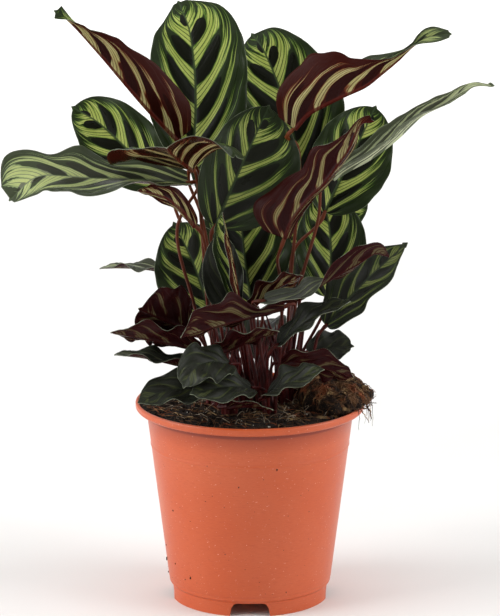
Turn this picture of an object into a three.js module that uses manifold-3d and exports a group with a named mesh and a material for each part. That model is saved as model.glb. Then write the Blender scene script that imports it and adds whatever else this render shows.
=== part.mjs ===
// Peacock plant, a prayer plant with painted leaves, in its plastic nursery pot.
// Millimetres, +Z up. The origin is the centre of the pot's foot, on the surface it stands on,
// and -Y is the side from which the plant shows most of its leaves.
import * as THREE from "three";
import { mergeVertices } from "three/addons/utils/BufferGeometryUtils.js";
import Module from "manifold-3d";

const wasm = await Module();
wasm.setup();

// ---------------------------------------------------------------- driving dimensions

const CLEARANCE = 0.35; // between pieces that touch on the real plant
const POT_SIDES = 36;

const POT = {
  height: 150,
  rimRadius: 85, // outside of the flared collar, a 17 cm pot
  neckRadius: 77, // body just under the collar
  bodyFootRadius: 60.3, // body just above the foot ring
  footRadius: 58.5,
  footHeight: 12,
  footStep: 1.5, // height of the slope from the foot out to the body
  floorRise: 0.4, // from the top of the foot to the underside of the floor
  wall: 1.4,
  collarHeight: 6.5,
  collarSlope: 0.6, // rise of the collar's underside on its way out
  collarLip: 1.5, // rounding of the collar's lower edge
  rimEdge: 0.8, // rounding of the rim
  ringHeight: 118, // faint stacking ring round the body
  ringHalfHeight: 1.5,
  ringRelief: 0.5,
};

// Where the collar, the shelf inside it and the floor lie, for the pot and the soil alike.
const COLLAR_BASE = POT.height - POT.collarHeight;
const SHELF = COLLAR_BASE + POT.wall;
const COLLAR_INSIDE = POT.rimRadius - POT.wall - POT.rimEdge;
const NECK_INSIDE = POT.neckRadius - POT.wall;
const FLOOR_INSIDE = POT.bodyFootRadius - POT.wall;
const FLOOR_BOTTOM = POT.footHeight + POT.floorRise;
const FLOOR_TOP = FLOOR_BOTTOM + POT.wall;

const NOTCH = { count: 4, topWidth: 26.5, bottomWidth: 30, height: 10, corner: 4, depth: 16 };
const DRAIN = { count: 4, radius: 5, circle: 38, sides: 12 };
const CUT = 1; // how far a cutting solid stands out of what it cuts

const SOIL = {
  belowRim: 2.6,
  dome: 1.5, // rise of the middle over the edge
  lumps: 1.1,
  rings: 5,
  holeDepth: 24, // of the plain holes that the shoots stand in
};
const SOIL_LEVEL = POT.height - SOIL.belowRim;

// A clump of roots and fibre that lies on the soil and hangs over the rim.
const CLUMP = {
  x: 62,
  y: 4,
  radiusX: 27,
  radiusY: 44,
  height: 15,
  edge: 2.5, // thickness at its outline
  lean: 0.6, // share of its height that it loses towards +X
  lumps: 1.6,
  overhang: 9, // how far inside the neck it starts to rise over the collar
  rings: 5,
  sectors: 18,
};

const PETIOLE = {
  radius: 1.5,
  sheathRadius: 2.6, // at the base, where the stalk clasps the shoot
  pulvinusRadius: 1.8, // the swollen joint under the blade
  straight: 9, // last stretch, in line with the midrib
  sides: 6,
  step: 28,
};
const CROWN = {
  radius: 5.5,
  topRadius: 3,
  shoulder: 4, // above the soil
  above: 18,
  tip: 2,
  stalksFrom: -6, // the stalks start under the soil and stand upright up to stalksTo
  stalksTo: 12,
  sides: 12,
};

const BLADE = {
  thickness: 0.8,
  midribRelief: 0.9, // extra depth of the midrib under the blade's base
  widest: 0.48, // place of the greatest width, from the base to the tip
  baseRoundness: 0.52,
  tipRoundness: 0.55,
  stalkWidth: 3,
  tipWidth: 1,
};
const LARGE_BLADE = { rows: 8, cells: 4 };
const SMALL_BLADE = { rows: 7, cells: 3 };
const SMALL_BLADE_WIDTH = 50; // a narrower blade gets the small grid

const COLOURS = {
  terracotta: "#bf6340",
  peat: "#2b2019",
  fibre: "#5a4028",
  petiole: "#6b2a1e",
  upperLight: "#5f7a2e",
  upperDark: "#23331f",
  underside: "#5a1f24",
};

// ---------------------------------------------------------------- shoots and leaves

// Where each shoot leaves the soil: x and y of its crown.
const SHOOTS = {
  stems_left: [-24, -14],
  stems_back_left: [-16, 16],
  stems_centre: [0, -4],
  stems_back: [6, 26],
  stems_right: [26, 2],
  stems_back_right: [30, 24],
  stems_front_left: [-14, -36],
  stems_front: [14, -34],
};

// Each leaf: the shoot that carries it, the full width of its left and right halves, the side
// seen, its midrib from base to tip, the way its upper side faces from base to tip, the fold of
// each half up from the midrib, the further curl of the left and right halves up to their
// margins (base, middle, tip, in degrees), the margin's waves (height, number, phase), and what
// its stalk passes on its way up from the crown. A blade that isn't oval has an outline: evenly
// spaced shares of the left and the right half's full width.
const LEAVES = {
  leaf_top_centre: {
    shoot: "stems_back_left", halves: [36, 39], kind: "light",
    outline: [
      [0.2, 0.66, 0.9, 1, 1, 0.93, 0.82, 0.58, 0.1],
      [0.2, 0.62, 0.86, 0.97, 1, 1, 0.93, 0.72, 0.15],
    ],
    rib: [[-44, -6, 327], [-40, -4, 358], [-40, 2, 392], [-44, 12, 424], [-52, 24, 443]],
    face: [[0, -1, 0.15], [0.05, -1, 0.1], [-0.1, -0.9, 0.5]],
    fold: [14, 8, 5], curl: [[20, 8, 10], [14, 4, -10]], wave: [2, 2.5, 0.2],
    stalk: [[-24, 4, 220], [-36, 2, 290]],
  },
  leaf_top_right: {
    shoot: "stems_back_right", halves: [40, 43], kind: "light",
    rib: [[38, 32, 308], [32, 35, 344], [22, 42, 377], [10, 52, 404], [2, 60, 414]],
    face: [[0, -1, 0.1], [0.05, -1, 0.15], [-0.05, -0.9, 0.4]],
    fold: [12, 8, 5], curl: [[15, 8, 10], [14, 6, -8]], wave: [2, 2.5, 0.6],
    stalk: [[38, 28, 230]],
  },
  leaf_curled_top_right: {
    shoot: "stems_right", halves: [32, 34], kind: "under",
    outline: [
      [0.4, 0.85, 1, 1, 0.84, 0.62, 0.42, 0.12, 0.06, 0.22, 0.08],
      [0.4, 0.85, 1, 1, 0.84, 0.62, 0.42, 0.12, 0.06, 0.22, 0.08],
    ],
    rib: [
      [32, -26, 359], [42, -31, 371], [54, -38, 379], [68, -45, 387], [82, -49, 394],
      [93, -51, 403], [105, -51, 413], [116, -50, 423], [127, -50, 429], [141, -50, 431],
    ],
    face: [
      [-0.5, 0.3, 0.8], [-0.5, 0.35, 0.8], [-0.5, 0.35, 0.8], [-0.5, 0.35, 0.8], [-0.4, 0.1, 0.8],
      [0, -0.8, 0.5], [0, -0.9, 0.4],
    ],
    fold: [50, 62, 70, 20], curl: [[50, 30, 20], [50, 25, 20]], wave: [2.5, 2, 0],
    stalk: [[30, 2, 240], [36, -4, 318], [34, -14, 345]],
  },
  leaf_curled_top_left: {
    shoot: "stems_centre", halves: [28, 26], kind: "under",
    outline: [
      [0.4, 0.88, 1, 0.95, 0.86, 0.78, 0.7, 0.52, 0.26, 0.1, 0.2],
      [0.4, 0.88, 1, 0.95, 0.86, 0.78, 0.7, 0.52, 0.26, 0.1, 0.2],
    ],
    rib: [[-52, -32, 352], [-76, -44, 380], [-104, -54, 415], [-125, -62, 440], [-136, -66, 449]],
    face: [
      [0.55, 0.3, 0.75], [0.6, 0.3, 0.7], [0.6, 0.3, 0.7], [0.6, 0.3, 0.7], [0.6, 0.3, 0.7],
      [0.5, 0.2, 0.7], [0.2, -0.9, 0.4],
    ],
    fold: [50, 62, 70, 20], curl: [[55, 30, 20], [50, 25, 20]], wave: [1.5, 2, 0.4],
    stalk: [[-14, -6, 220], [-30, -16, 305]],
  },
  leaf_back_left: {
    shoot: "stems_back_left", halves: [28, 28], kind: "light",
    rib: [[-64, 38, 306], [-90, 42, 330], [-112, 46, 350], [-131, 50, 361]],
    face: [[-0.2, -1, 0.2], [-0.1, -1, 0.2], [-0.2, -1, 0.3]],
    fold: [14, 10, 6], curl: [[20, 10, 10], [15, 10, 5]], wave: [2, 2.5, 0.1],
    stalk: [[-24, 26, 190], [-36, 34, 240], [-56, 38, 288]],
  },
  leaf_long_left: {
    shoot: "stems_left", halves: [32, 32], kind: "light",
    outline: [
      [0.3, 0.72, 0.92, 1, 1, 0.94, 0.8, 0.5, 0.12],
      [0.25, 0.5, 0.55, 0.56, 0.66, 0.75, 0.62, 0.84, 0.36],
    ],
    rib: [[-45, -20, 318], [-80, -38, 324], [-115, -54, 328], [-150, -64, 331], [-170, -70, 316]],
    face: [[0.1, -0.5, 0.85], [0, -0.45, 0.9], [-0.1, -0.5, 0.85], [-0.5, -0.75, 0.3]],
    fold: [24, 14, 6], curl: [[40, 14, 0], [40, 20, 8]], wave: [4.2, 2.5, 0.3],
    stalk: [[-41, -15, 226], [-53, -16, 284]],
  },
  leaf_folded_left: {
    shoot: "stems_left", halves: [54, 50], kind: "under",
    rib: [[-42, -38, 331], [-50, -62, 342], [-55, -84, 351], [-58, -104, 359]],
    face: [[-0.34, 0.4, 1], [-0.34, 0.4, 1], [-0.3, 0.3, 1]],
    fold: [28, 34, 26], curl: [[-60, -115, -100], [-10, -30, -30]], wave: [5, 2, 0.25],
    stalk: [[-31, -18, 226], [-36, -24, 296]],
  },
  leaf_centre: {
    shoot: "stems_centre", halves: [29, 44], kind: "light",
    rib: [[-25, -24, 287], [-15, -25, 311], [-3, -23, 338], [13, -14, 372]],
    face: [[0.1, -1, 0.15], [0.1, -1, 0.15], [0.1, -1, 0.3]],
    fold: [14, 10, 6], curl: [[20, 10, 8], [14, 4, 0]], wave: [2, 2.5, 0.8],
    stalk: [[-8, -14, 220]],
  },
  leaf_back_right: {
    shoot: "stems_back_right", halves: [31, 31], kind: "light",
    rib: [[55, 10, 290], [69, 14, 319], [82, 20, 345], [92, 26, 365]],
    face: [[0.1, -1, 0.1], [0.1, -1, 0.2], [0.1, -0.8, 0.5]],
    fold: [14, 8, 6], curl: [[15, 10, 20], [15, 8, 15]], wave: [2, 2.5, 0.3],
    stalk: [[30, 22, 225], [33, 12, 262]],
  },
  leaf_long_right: {
    shoot: "stems_right", halves: [12, 12], widest: 0.36, point: 1.2, kind: "light",
    rib: [
      [60, -14, 320], [72, -18, 328], [88, -24, 338], [105, -29, 352], [123, -34, 370],
      [141, -38, 380], [158, -38, 392], [173, -36, 392],
    ],
    face: [[-0.5, -0.4, 0.75], [-0.5, -0.4, 0.75], [-0.4, -0.6, 0.7], [-0.2, -0.8, 0.6]],
    fold: [40, 34, 24], curl: [[60, 50, 40], [50, 45, 40]], wave: [1.5, 2, 0.6],
    stalk: [[35, -8, 232], [50, -10, 290]],
  },
  leaf_curled_centre: {
    shoot: "stems_right", halves: [13, 31], kind: "under",
    outline: [
      [0.3, 0.35, 0.35, 0.35, 0.45, 0.7, 1, 1, 0.7, 0.4, 0.1],
      [0.5, 1, 0.78, 0.7, 0.6, 0.66, 0.74, 0.46, 0.24, 0.1, 0.15],
    ],
    rib: [
      [25, -48, 283], [29, -52, 295], [35, -54, 305], [43, -56, 315], [52, -58, 324],
      [62, -60, 338], [71, -61, 352], [78, -61, 368], [86, -60, 370],
    ],
    face: [[-0.2, 1, 0.2], [-0.3, 1, 0.2], [-0.3, 0.6, 0.4]],
    fold: [6, 24, 24], curl: [[10, 50, 50], [50, 40, 40]], wave: [1.5, 2, 0.2],
    stalk: [[23, -10, 225], [22, -14, 246], [20, -34, 264]],
  },
  leaf_mid_left: {
    shoot: "stems_back_left", halves: [31, 31], kind: "light",
    rib: [[-29, 16, 209], [-36, 18, 232], [-44, 20, 254], [-56, 24, 278]],
    face: [[-0.1, -1, 0.1], [-0.1, -1, 0.1], [-0.1, -1, 0.2]],
    fold: [12, 8, 6], curl: [[15, 10, 5], [15, 10, 5]], wave: [2, 2.5, 0.5],
    stalk: [],
  },
  leaf_small_back_left: {
    shoot: "stems_back_left", halves: [10, 10], kind: "dark",
    rib: [[-50, 66, 226], [-68, 70, 233], [-84, 76, 234], [-100, 82, 233], [-113, 88, 231]],
    face: [[0, -0.1, 1], [0, -0.05, 1], [0, -0.1, 1]],
    fold: [16, 8, 10], curl: [[15, 10, 5], [15, 10, 5]], wave: [2.2, 2.5, 0.5],
    stalk: [[-30, 40, 190]],
  },
  leaf_mid_centre: {
    shoot: "stems_back", halves: [36, 36], kind: "light",
    rib: [[1, 30, 218], [-3, 33, 244], [-6, 38, 270], [-10, 44, 300]],
    face: [[0.1, -1, 0], [0.1, -1, 0.1], [0.1, -1, 0.1]],
    fold: [12, 10, 6], curl: [[15, 4, 0], [15, 4, 0]], wave: [2, 2.5, 0.9],
    stalk: [],
  },
  leaf_mid_right: {
    shoot: "stems_back_right", halves: [27, 27], kind: "light",
    rib: [[57, 20, 224], [60, 22, 250], [59, 26, 274], [54, 34, 298]],
    face: [[0, -1, 0.1], [0, -1, 0.1], [0, -1, 0.2]],
    fold: [12, 8, 6], curl: [[15, 8, 5], [15, 8, 5]], wave: [2, 2.5, 0.3],
    stalk: [],
  },
  leaf_mid_back: {
    shoot: "stems_back", halves: [22, 22], kind: "light",
    rib: [[28, 58, 258], [58, 62, 276], [88, 66, 288]],
    face: [[0, -1, 0.3], [0, -1, 0.3]],
    fold: [12, 8, 6], curl: [[15, 8, 5], [15, 8, 5]], wave: [1.5, 2.5, 0.1],
    stalk: [[20, 30, 190], [26, 44, 235]],
  },
  leaf_twisted_right: {
    shoot: "stems_front", halves: [13, 13], point: 0.9, kind: "under",
    outline: [
      [0.4, 0.75, 0.9, 0.75, 0.4, 0.6, 1, 0.75, 0.1],
      [0.4, 0.75, 0.9, 0.75, 0.4, 0.6, 1, 0.75, 0.1],
    ],
    rib: [
      [10, -52, 237], [34, -64, 242], [54, -70, 256], [75, -72, 268], [89, -68, 276],
      [98, -62, 273],
    ],
    face: [[0, -0.5, 0.85], [-0.2, -0.3, 0.9], [-0.4, 0.7, 0.5], [-0.3, 0.5, 0.7]],
    fold: [20, 14, 20], curl: [[30, 25, 40], [30, 20, 40]], wave: [3.4, 2.5, 0.2],
    stalk: [[7, -33, 205], [9, -37, 223]],
  },
  leaf_low_right: {
    shoot: "stems_right", halves: [20, 21], point: 0.95, kind: "dark",
    rib: [[56, -10, 209], [73, -14, 231], [88, -18, 248], [113, -24, 273]],
    face: [[-0.2, -0.8, 0.5], [-0.3, -0.75, 0.6], [-0.2, -0.9, 0.4]],
    fold: [16, 12, 10], curl: [[20, 15, 20], [20, 15, 20]], wave: [4.2, 2.5, 0.4],
    stalk: [[46, -6, 186]],
  },
  leaf_small_right: {
    shoot: "stems_front", halves: [12, 12], point: 0.8, kind: "dark",
    rib: [[20, -50, 204], [36, -56, 220], [51, -60, 231], [70, -62, 239]],
    face: [[-0.3, -0.5, 0.8], [-0.3, -0.5, 0.8]],
    fold: [16, 12, 10], curl: [[20, 15, 20], [20, 15, 20]], wave: [3.4, 2.5, 0],
    stalk: [],
  },
  leaf_round_right: {
    shoot: "stems_right", halves: [14, 14], point: 0.35, kind: "dark",
    rib: [[42, 8, 184], [59, 6, 188], [75, 4, 190]],
    face: [[0, -0.7, 0.75], [0, -0.6, 0.8]],
    fold: [12, 8, 6], curl: [[15, 10, 10], [15, 10, 10]], wave: [3.4, 2.5, 0.3],
    stalk: [],
  },
  leaf_maroon_right: {
    shoot: "stems_front", halves: [20, 14], kind: "under",
    rib: [[24, -42, 188], [40, -54, 191], [57, -60, 189], [73, -62, 184]],
    face: [[0, 0.7, 0.7], [0, 0.8, 0.6], [0.2, 0.8, 0.5]],
    fold: [14, 10, 8], curl: [[20, 15, 20], [20, 15, 20]], wave: [4.2, 2.5, 0.2],
    stalk: [],
  },
  leaf_round_left: {
    shoot: "stems_front_left", halves: [27, 22], point: 0.35, kind: "under",
    rib: [[-47, -35, 213], [-63, -45, 222], [-79, -51, 231]],
    face: [[0.3, 0.95, 0.25], [0.3, 0.95, 0.2]],
    fold: [14, 10, 8], curl: [[30, 35, 30], [-30, -40, -30]], wave: [3.4, 2.5, 0.1],
    stalk: [],
  },
  leaf_flat_left: {
    shoot: "stems_front_left", halves: [17, 17], kind: "under",
    rib: [[-37, -42, 199], [-62, -56, 208], [-80, -66, 214], [-98, -73, 219]],
    face: [[0, 0.6, 0.8], [0, 0.6, 0.8]],
    fold: [14, 10, 8], curl: [[20, 15, 20], [20, 15, 20]], wave: [3.4, 2.5, 0.4],
    stalk: [],
  },
  leaf_cupped_centre: {
    shoot: "stems_front", halves: [22, 18], kind: "under",
    outline: [
      [0.2, 0.3, 0.34, 0.6, 1, 1, 0.9, 0.7, 0.1],
      [0.2, 0.5, 0.66, 0.76, 0.85, 0.8, 0.6, 0.3, 0.1],
    ],
    rib: [[24, -46, 231], [8, -53, 228], [-11, -62, 225], [-31, -70, 221], [-48, -76, 217]],
    face: [[0, 0.75, 0.65], [0, 0.75, 0.65]],
    fold: [14, 12, 10], curl: [[20, 25, 30], [30, 35, 30]], wave: [4.2, 2.5, 0.1],
    stalk: [],
  },
  leaf_narrow_left: {
    shoot: "stems_left", halves: [11, 11], kind: "dark",
    rib: [[-34, -32, 181], [-57, -46, 190], [-77, -53, 196], [-96, -58, 199]],
    face: [[0, -0.3, 0.95], [0, -0.1, 0.95]],
    fold: [16, 12, 10], curl: [[20, 15, 20], [20, 15, 20]], wave: [3.4, 2.5, 0.2],
    stalk: [],
  },
  leaf_drooping_left: {
    shoot: "stems_front_left", halves: [20, 16], kind: "dark",
    rib: [[-14, -58, 192], [-28, -71, 197], [-40, -80, 194], [-47, -86, 183]],
    face: [[-0.1, -0.6, 0.8], [-0.2, -0.75, 0.6], [-0.5, -0.8, 0.2]],
    fold: [12, 8, 6], curl: [[15, 5, -10], [15, 5, -10]], wave: [4.2, 2.5, 0.3],
    stalk: [],
  },
  leaf_low_left: {
    shoot: "stems_front_left", halves: [14, 16], kind: "dark",
    rib: [[-24, -46, 169], [-44, -60, 174], [-62, -68, 174], [-79, -74, 168]],
    face: [[0, -0.6, 0.8], [0, -0.6, 0.8], [-0.3, -0.7, 0.6]],
    fold: [12, 8, 6], curl: [[15, 5, -10], [15, 5, -10]], wave: [3, 2.5, 0.6],
    stalk: [],
  },
  leaf_low_centre: {
    shoot: "stems_front", halves: [16, 16], kind: "dark",
    rib: [[2, -62, 175], [-12, -76, 180], [-27, -84, 180], [-41, -88, 178]],
    face: [[0, -0.6, 0.8], [0, -0.6, 0.8]],
    fold: [12, 8, 6], curl: [[15, 5, -10], [15, 5, -10]], wave: [4.2, 2.5, 0.1],
    stalk: [],
  },
  leaf_lowest_front: {
    shoot: "stems_front_left", halves: [10, 10], kind: "under",
    rib: [[-16, -54, 159], [-1, -66, 163], [15, -76, 163]],
    face: [[0, 0.5, 0.85], [0, 0.4, 0.9]],
    fold: [12, 8, 6], curl: [[15, 5, 5], [15, 5, 5]], wave: [1.5, 2, 0.3],
    stalk: [],
  },
  leaf_low_front_right: {
    shoot: "stems_front", halves: [14, 14], kind: "dark",
    rib: [[12, -56, 168], [22, -68, 178], [36, -77, 186], [51, -84, 194]],
    face: [[-0.3, -0.4, 0.85], [-0.3, -0.4, 0.85]],
    fold: [14, 10, 8], curl: [[20, 15, 10], [20, 15, 10]], wave: [3.4, 2.5, 0.3],
    stalk: [],
  },
  leaf_maroon_centre: {
    shoot: "stems_front_left", halves: [15, 15], kind: "under",
    rib: [[-26, -45, 196], [-12, -52, 203], [3, -60, 211], [19, -66, 218]],
    face: [[-0.2, 0.5, 0.8], [-0.2, 0.5, 0.8]],
    fold: [14, 10, 8], curl: [[20, 15, 10], [20, 15, 10]], wave: [3.4, 2.5, 0.5],
    stalk: [],
  },
  leaf_mid_front: {
    shoot: "stems_centre", halves: [22, 12], kind: "under",
    rib: [[-1, -30, 226], [10, -33, 236], [22, -35, 245], [36, -36, 252]],
    face: [[-0.2, 0.4, 0.9], [-0.2, 0.6, 0.7], [-0.2, 0.6, 0.7]],
    fold: [14, 10, 8], curl: [[20, 15, 10], [20, 15, 10]], wave: [3.4, 2.5, 0.7],
    stalk: [],
  },
  leaf_thin_rolled: {
    shoot: "stems_centre", halves: [12, 12], kind: "under",
    rib: [[-9, -40, 234], [-12, -43, 256], [-16, -45, 279], [-20, -46, 299]],
    face: [[-0.8, -0.6, 0], [-0.8, -0.6, 0]],
    fold: [24, 24, 24], curl: [[70, 70, 60], [50, 50, 50]], wave: [1, 2, 0.2],
    stalk: [],
  },
  leaf_dark_centre: {
    shoot: "stems_left", halves: [16, 16], kind: "dark",
    rib: [[-15, -30, 222], [-18, -31, 243], [-20, -32, 264], [-21, -33, 282]],
    face: [[-0.2, -1, 0], [-0.2, -1, 0]],
    fold: [14, 10, 8], curl: [[20, 15, 10], [20, 15, 10]], wave: [1.5, 2, 0.2],
    stalk: [],
  },
  leaf_rolled_left: {
    shoot: "stems_left", halves: [9, 9], kind: "under",
    rib: [[-40, -30, 288], [-52, -37, 304], [-65, -44, 314], [-79, -50, 318]],
    face: [[0.2, 0.7, 0.7], [0, 0.8, 0.6], [0, 0.8, 0.6]],
    fold: [20, 16, 12], curl: [[40, 30, 20], [30, 20, 20]], wave: [1.5, 2, 0.2],
    stalk: [],
  },
  leaf_rear_top: {
    shoot: "stems_back", halves: [28, 28], kind: "light",
    rib: [[-12, 52, 276], [-18, 70, 304], [-22, 88, 322], [-24, 106, 329]],
    face: [[0, -0.7, 0.7], [0, -0.5, 0.85], [0, -0.1, 1]],
    fold: [14, 10, 6], curl: [[20, 10, 5], [20, 10, 5]], wave: [2, 2.5, 0.2],
    stalk: [[-2, 40, 220]],
  },
  leaf_rear_right: {
    shoot: "stems_back_right", halves: [25, 25], kind: "light",
    rib: [[32, 52, 212], [34, 70, 236], [36, 89, 245], [36, 106, 240]],
    face: [[0, -0.6, 0.8], [0, -0.3, 1], [0, 0.2, 1]],
    fold: [14, 10, 6], curl: [[20, 10, 5], [20, 10, 5]], wave: [2, 2.5, 0.5],
    stalk: [],
  },
  leaf_rear_left: {
    shoot: "stems_back", halves: [23, 23], kind: "dark",
    rib: [[-10, 44, 176], [-18, 66, 192], [-24, 86, 197], [-26, 104, 190]],
    face: [[0, -0.6, 0.8], [0, -0.3, 1], [0, 0.2, 1]],
    fold: [14, 10, 6], curl: [[20, 10, 5], [20, 10, 5]], wave: [2, 2.5, 0.7],
    stalk: [],
  },
  leaf_rear_low: {
    shoot: "stems_back", halves: [20, 20], kind: "dark",
    rib: [[8, 48, 168], [8, 68, 184], [10, 90, 189], [10, 106, 180]],
    face: [[0, -0.6, 0.8], [0, -0.3, 1], [0, 0.2, 1]],
    fold: [14, 10, 6], curl: [[20, 10, 5], [20, 10, 5]], wave: [2, 2.5, 0.9],
    stalk: [],
  },
};

// ---------------------------------------------------------------- solids and booleans

/** A closed geometry as a solid that can be joined and cut. */
function solid(geometry) {
  const bare = geometry.clone();
  bare.deleteAttribute("normal");
  bare.deleteAttribute("uv");
  const merged = mergeVertices(bare, 1e-4);
  const mesh = new wasm.Mesh({
    numProp: 3,
    vertProperties: Float32Array.from(merged.attributes.position.array),
    triVerts: Uint32Array.from(merged.index.array),
  });
  mesh.merge();
  const result = new wasm.Manifold(mesh);
  return result.volume() < 0 ? solid(flipped(merged)) : result;
}

/** The same triangles with their faces turned round. */
function flipped(geometry) {
  const turned = geometry.clone();
  const index = turned.index.array;
  for (let i = 0; i < index.length; i += 3) {
    [index[i], index[i + 1]] = [index[i + 1], index[i]];
  }
  return turned;
}

/** A solid's surface as a geometry with flat shading. */
function surfaceOf(manifold) {
  const { vertProperties, triVerts, numProp } = manifold.getMesh();
  const geometry = new THREE.BufferGeometry();
  const positions = new Float32Array((vertProperties.length / numProp) * 3);
  for (let v = 0; v * numProp < vertProperties.length; v += 1) {
    positions.set(vertProperties.subarray(v * numProp, v * numProp + 3), v * 3);
  }
  geometry.setAttribute("position", new THREE.BufferAttribute(positions, 3));
  geometry.setIndex(new THREE.BufferAttribute(Uint32Array.from(triVerts), 1));
  return geometry;
}

/** Several solids joined into one. */
function joined(solids) {
  return solids.reduce((whole, piece) => whole.add(piece));
}

/** A named piece with its own material. */
function piece(name, geometry, colour, roughness) {
  geometry.computeVertexNormals();
  const material = new THREE.MeshStandardMaterial({ color: colour, roughness, metalness: 0 });
  const mesh = new THREE.Mesh(geometry, material);
  mesh.name = name;
  return mesh;
}

/** A turned shape standing on +Z, from [radius, height] pairs. */
function turned(profile, sides) {
  const points = profile.map(([radius, height]) => new THREE.Vector2(radius, height));
  return new THREE.LatheGeometry(points, sides).rotateX(Math.PI / 2);
}

/** A plain upright cylinder between two heights. */
function cylinder(x, y, radius, bottom, top, sides) {
  const geometry = new THREE.CylinderGeometry(radius, radius, top - bottom, sides);
  return geometry.rotateX(Math.PI / 2).translate(x, y, (bottom + top) / 2);
}

// ---------------------------------------------------------------- pot

function makePot() {
  const bodySlope = (POT.neckRadius - POT.bodyFootRadius) / (COLLAR_BASE - POT.footHeight);
  const bodyRadius = (height) => POT.bodyFootRadius + bodySlope * (height - POT.footHeight);
  const ringBottom = POT.ringHeight - POT.ringHalfHeight;
  const ringTop = POT.ringHeight + POT.ringHalfHeight;
  const profile = [
    [0, FLOOR_BOTTOM],
    [POT.footRadius - POT.wall, FLOOR_BOTTOM],
    [POT.footRadius - POT.wall, 0],
    [POT.footRadius, 0],
    [POT.footRadius, POT.footHeight - POT.footStep],
    [POT.bodyFootRadius, POT.footHeight],
    [bodyRadius(ringBottom), ringBottom],
    [bodyRadius(POT.ringHeight) + POT.ringRelief, POT.ringHeight],
    [bodyRadius(ringTop), ringTop],
    [POT.neckRadius, COLLAR_BASE],
    [POT.rimRadius - POT.collarLip, COLLAR_BASE + POT.collarSlope],
    [POT.rimRadius, COLLAR_BASE + POT.collarSlope + POT.collarLip],
    [POT.rimRadius, POT.height - POT.rimEdge],
    [POT.rimRadius - POT.rimEdge, POT.height],
    [COLLAR_INSIDE, POT.height],
    [COLLAR_INSIDE, SHELF + POT.collarSlope],
    [NECK_INSIDE, SHELF],
    [FLOOR_INSIDE, FLOOR_TOP],
    [0, FLOOR_TOP],
  ];
  const shell = solid(turned(profile, POT_SIDES));
  const openings = joined([...footNotches(), ...drainHoles()]);
  return piece("pot", surfaceOf(shell.subtract(openings)), COLOURS.terracotta, 0.45);
}

/** The arched notches that let water out from under the pot. */
function footNotches() {
  const arch = new THREE.Shape();
  const { topWidth, bottomWidth, height, corner, depth } = NOTCH;
  const side = THREE.MathUtils.lerp(bottomWidth, topWidth, 1 - corner / height) / 2;
  arch.moveTo(-bottomWidth / 2, -CUT);
  arch.lineTo(bottomWidth / 2, -CUT);
  arch.lineTo(side, height - corner);
  arch.quadraticCurveTo(topWidth / 2, height, topWidth / 2 - corner, height);
  arch.lineTo(corner - topWidth / 2, height);
  arch.quadraticCurveTo(-topWidth / 2, height, -side, height - corner);
  arch.closePath();
  const block = new THREE.ExtrudeGeometry(arch, { depth, bevelEnabled: false, curveSegments: 3 });
  block.rotateX(Math.PI / 2).translate(0, depth / 2 - POT.footRadius, 0);
  return Array.from({ length: NOTCH.count }, (_, i) =>
    solid(block.clone().rotateZ((i * 2 * Math.PI) / NOTCH.count)),
  );
}

/** The round holes in the floor, between the notches. */
function drainHoles() {
  return Array.from({ length: DRAIN.count }, (_, i) => {
    const angle = ((i + 0.5) * 2 * Math.PI) / DRAIN.count;
    const x = DRAIN.circle * Math.cos(angle);
    const y = DRAIN.circle * Math.sin(angle);
    return solid(cylinder(x, y, DRAIN.radius, FLOOR_BOTTOM - CUT, FLOOR_TOP + CUT, DRAIN.sides));
  });
}

// ---------------------------------------------------------------- soil

/** Height of the soil's lumpy surface, which is level under the clump of roots. */
function soilHeight(x, y) {
  const lumps = Math.sin(x * 0.21 + y * 0.08) * Math.cos(y * 0.19 - x * 0.05);
  const reach = Math.hypot((x - CLUMP.x) / CLUMP.radiusX, (y - CLUMP.y) / CLUMP.radiusY);
  const open = THREE.MathUtils.smoothstep(reach, 1.4, 1.9);
  const edge = 1 - Math.hypot(x, y) / POT.rimRadius;
  const inside = THREE.MathUtils.smoothstep(edge, 0, 0.5);
  return SOIL_LEVEL + open * inside * (SOIL.dome + SOIL.lumps * lumps);
}

/** The ball of soil, which fills the pot and has a plain hole for each shoot. */
function makeSoil() {
  const gap = 2 * CLEARANCE;
  const topRadius = COLLAR_INSIDE - gap;
  const profile = [
    [0, FLOOR_TOP + CLEARANCE],
    [FLOOR_INSIDE - gap, FLOOR_TOP + CLEARANCE],
    [NECK_INSIDE - gap, SHELF + CLEARANCE],
    [topRadius, SHELF + POT.collarSlope + CLEARANCE],
  ];
  for (let ring = SOIL.rings; ring >= 0; ring -= 1) {
    profile.push([(topRadius * ring) / SOIL.rings, SOIL_LEVEL]);
  }
  const geometry = turned(profile, POT_SIDES);
  const position = geometry.attributes.position;
  for (let v = 0; v < position.count; v += 1) {
    const [x, y, z] = [position.getX(v), position.getY(v), position.getZ(v)];
    if (z > SOIL_LEVEL - CLEARANCE) {
      position.setZ(v, soilHeight(x, y));
    }
  }
  const bottom = SOIL_LEVEL - SOIL.holeDepth;
  const top = SOIL_LEVEL + SOIL.dome + SOIL.lumps + CUT;
  const holes = Object.values(SHOOTS).map(([x, y]) =>
    solid(cylinder(x, y, CROWN.radius + CLEARANCE, bottom, top, CROWN.sides)),
  );
  return piece("soil", surfaceOf(solid(geometry).subtract(joined(holes))), COLOURS.peat, 1);
}

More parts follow.
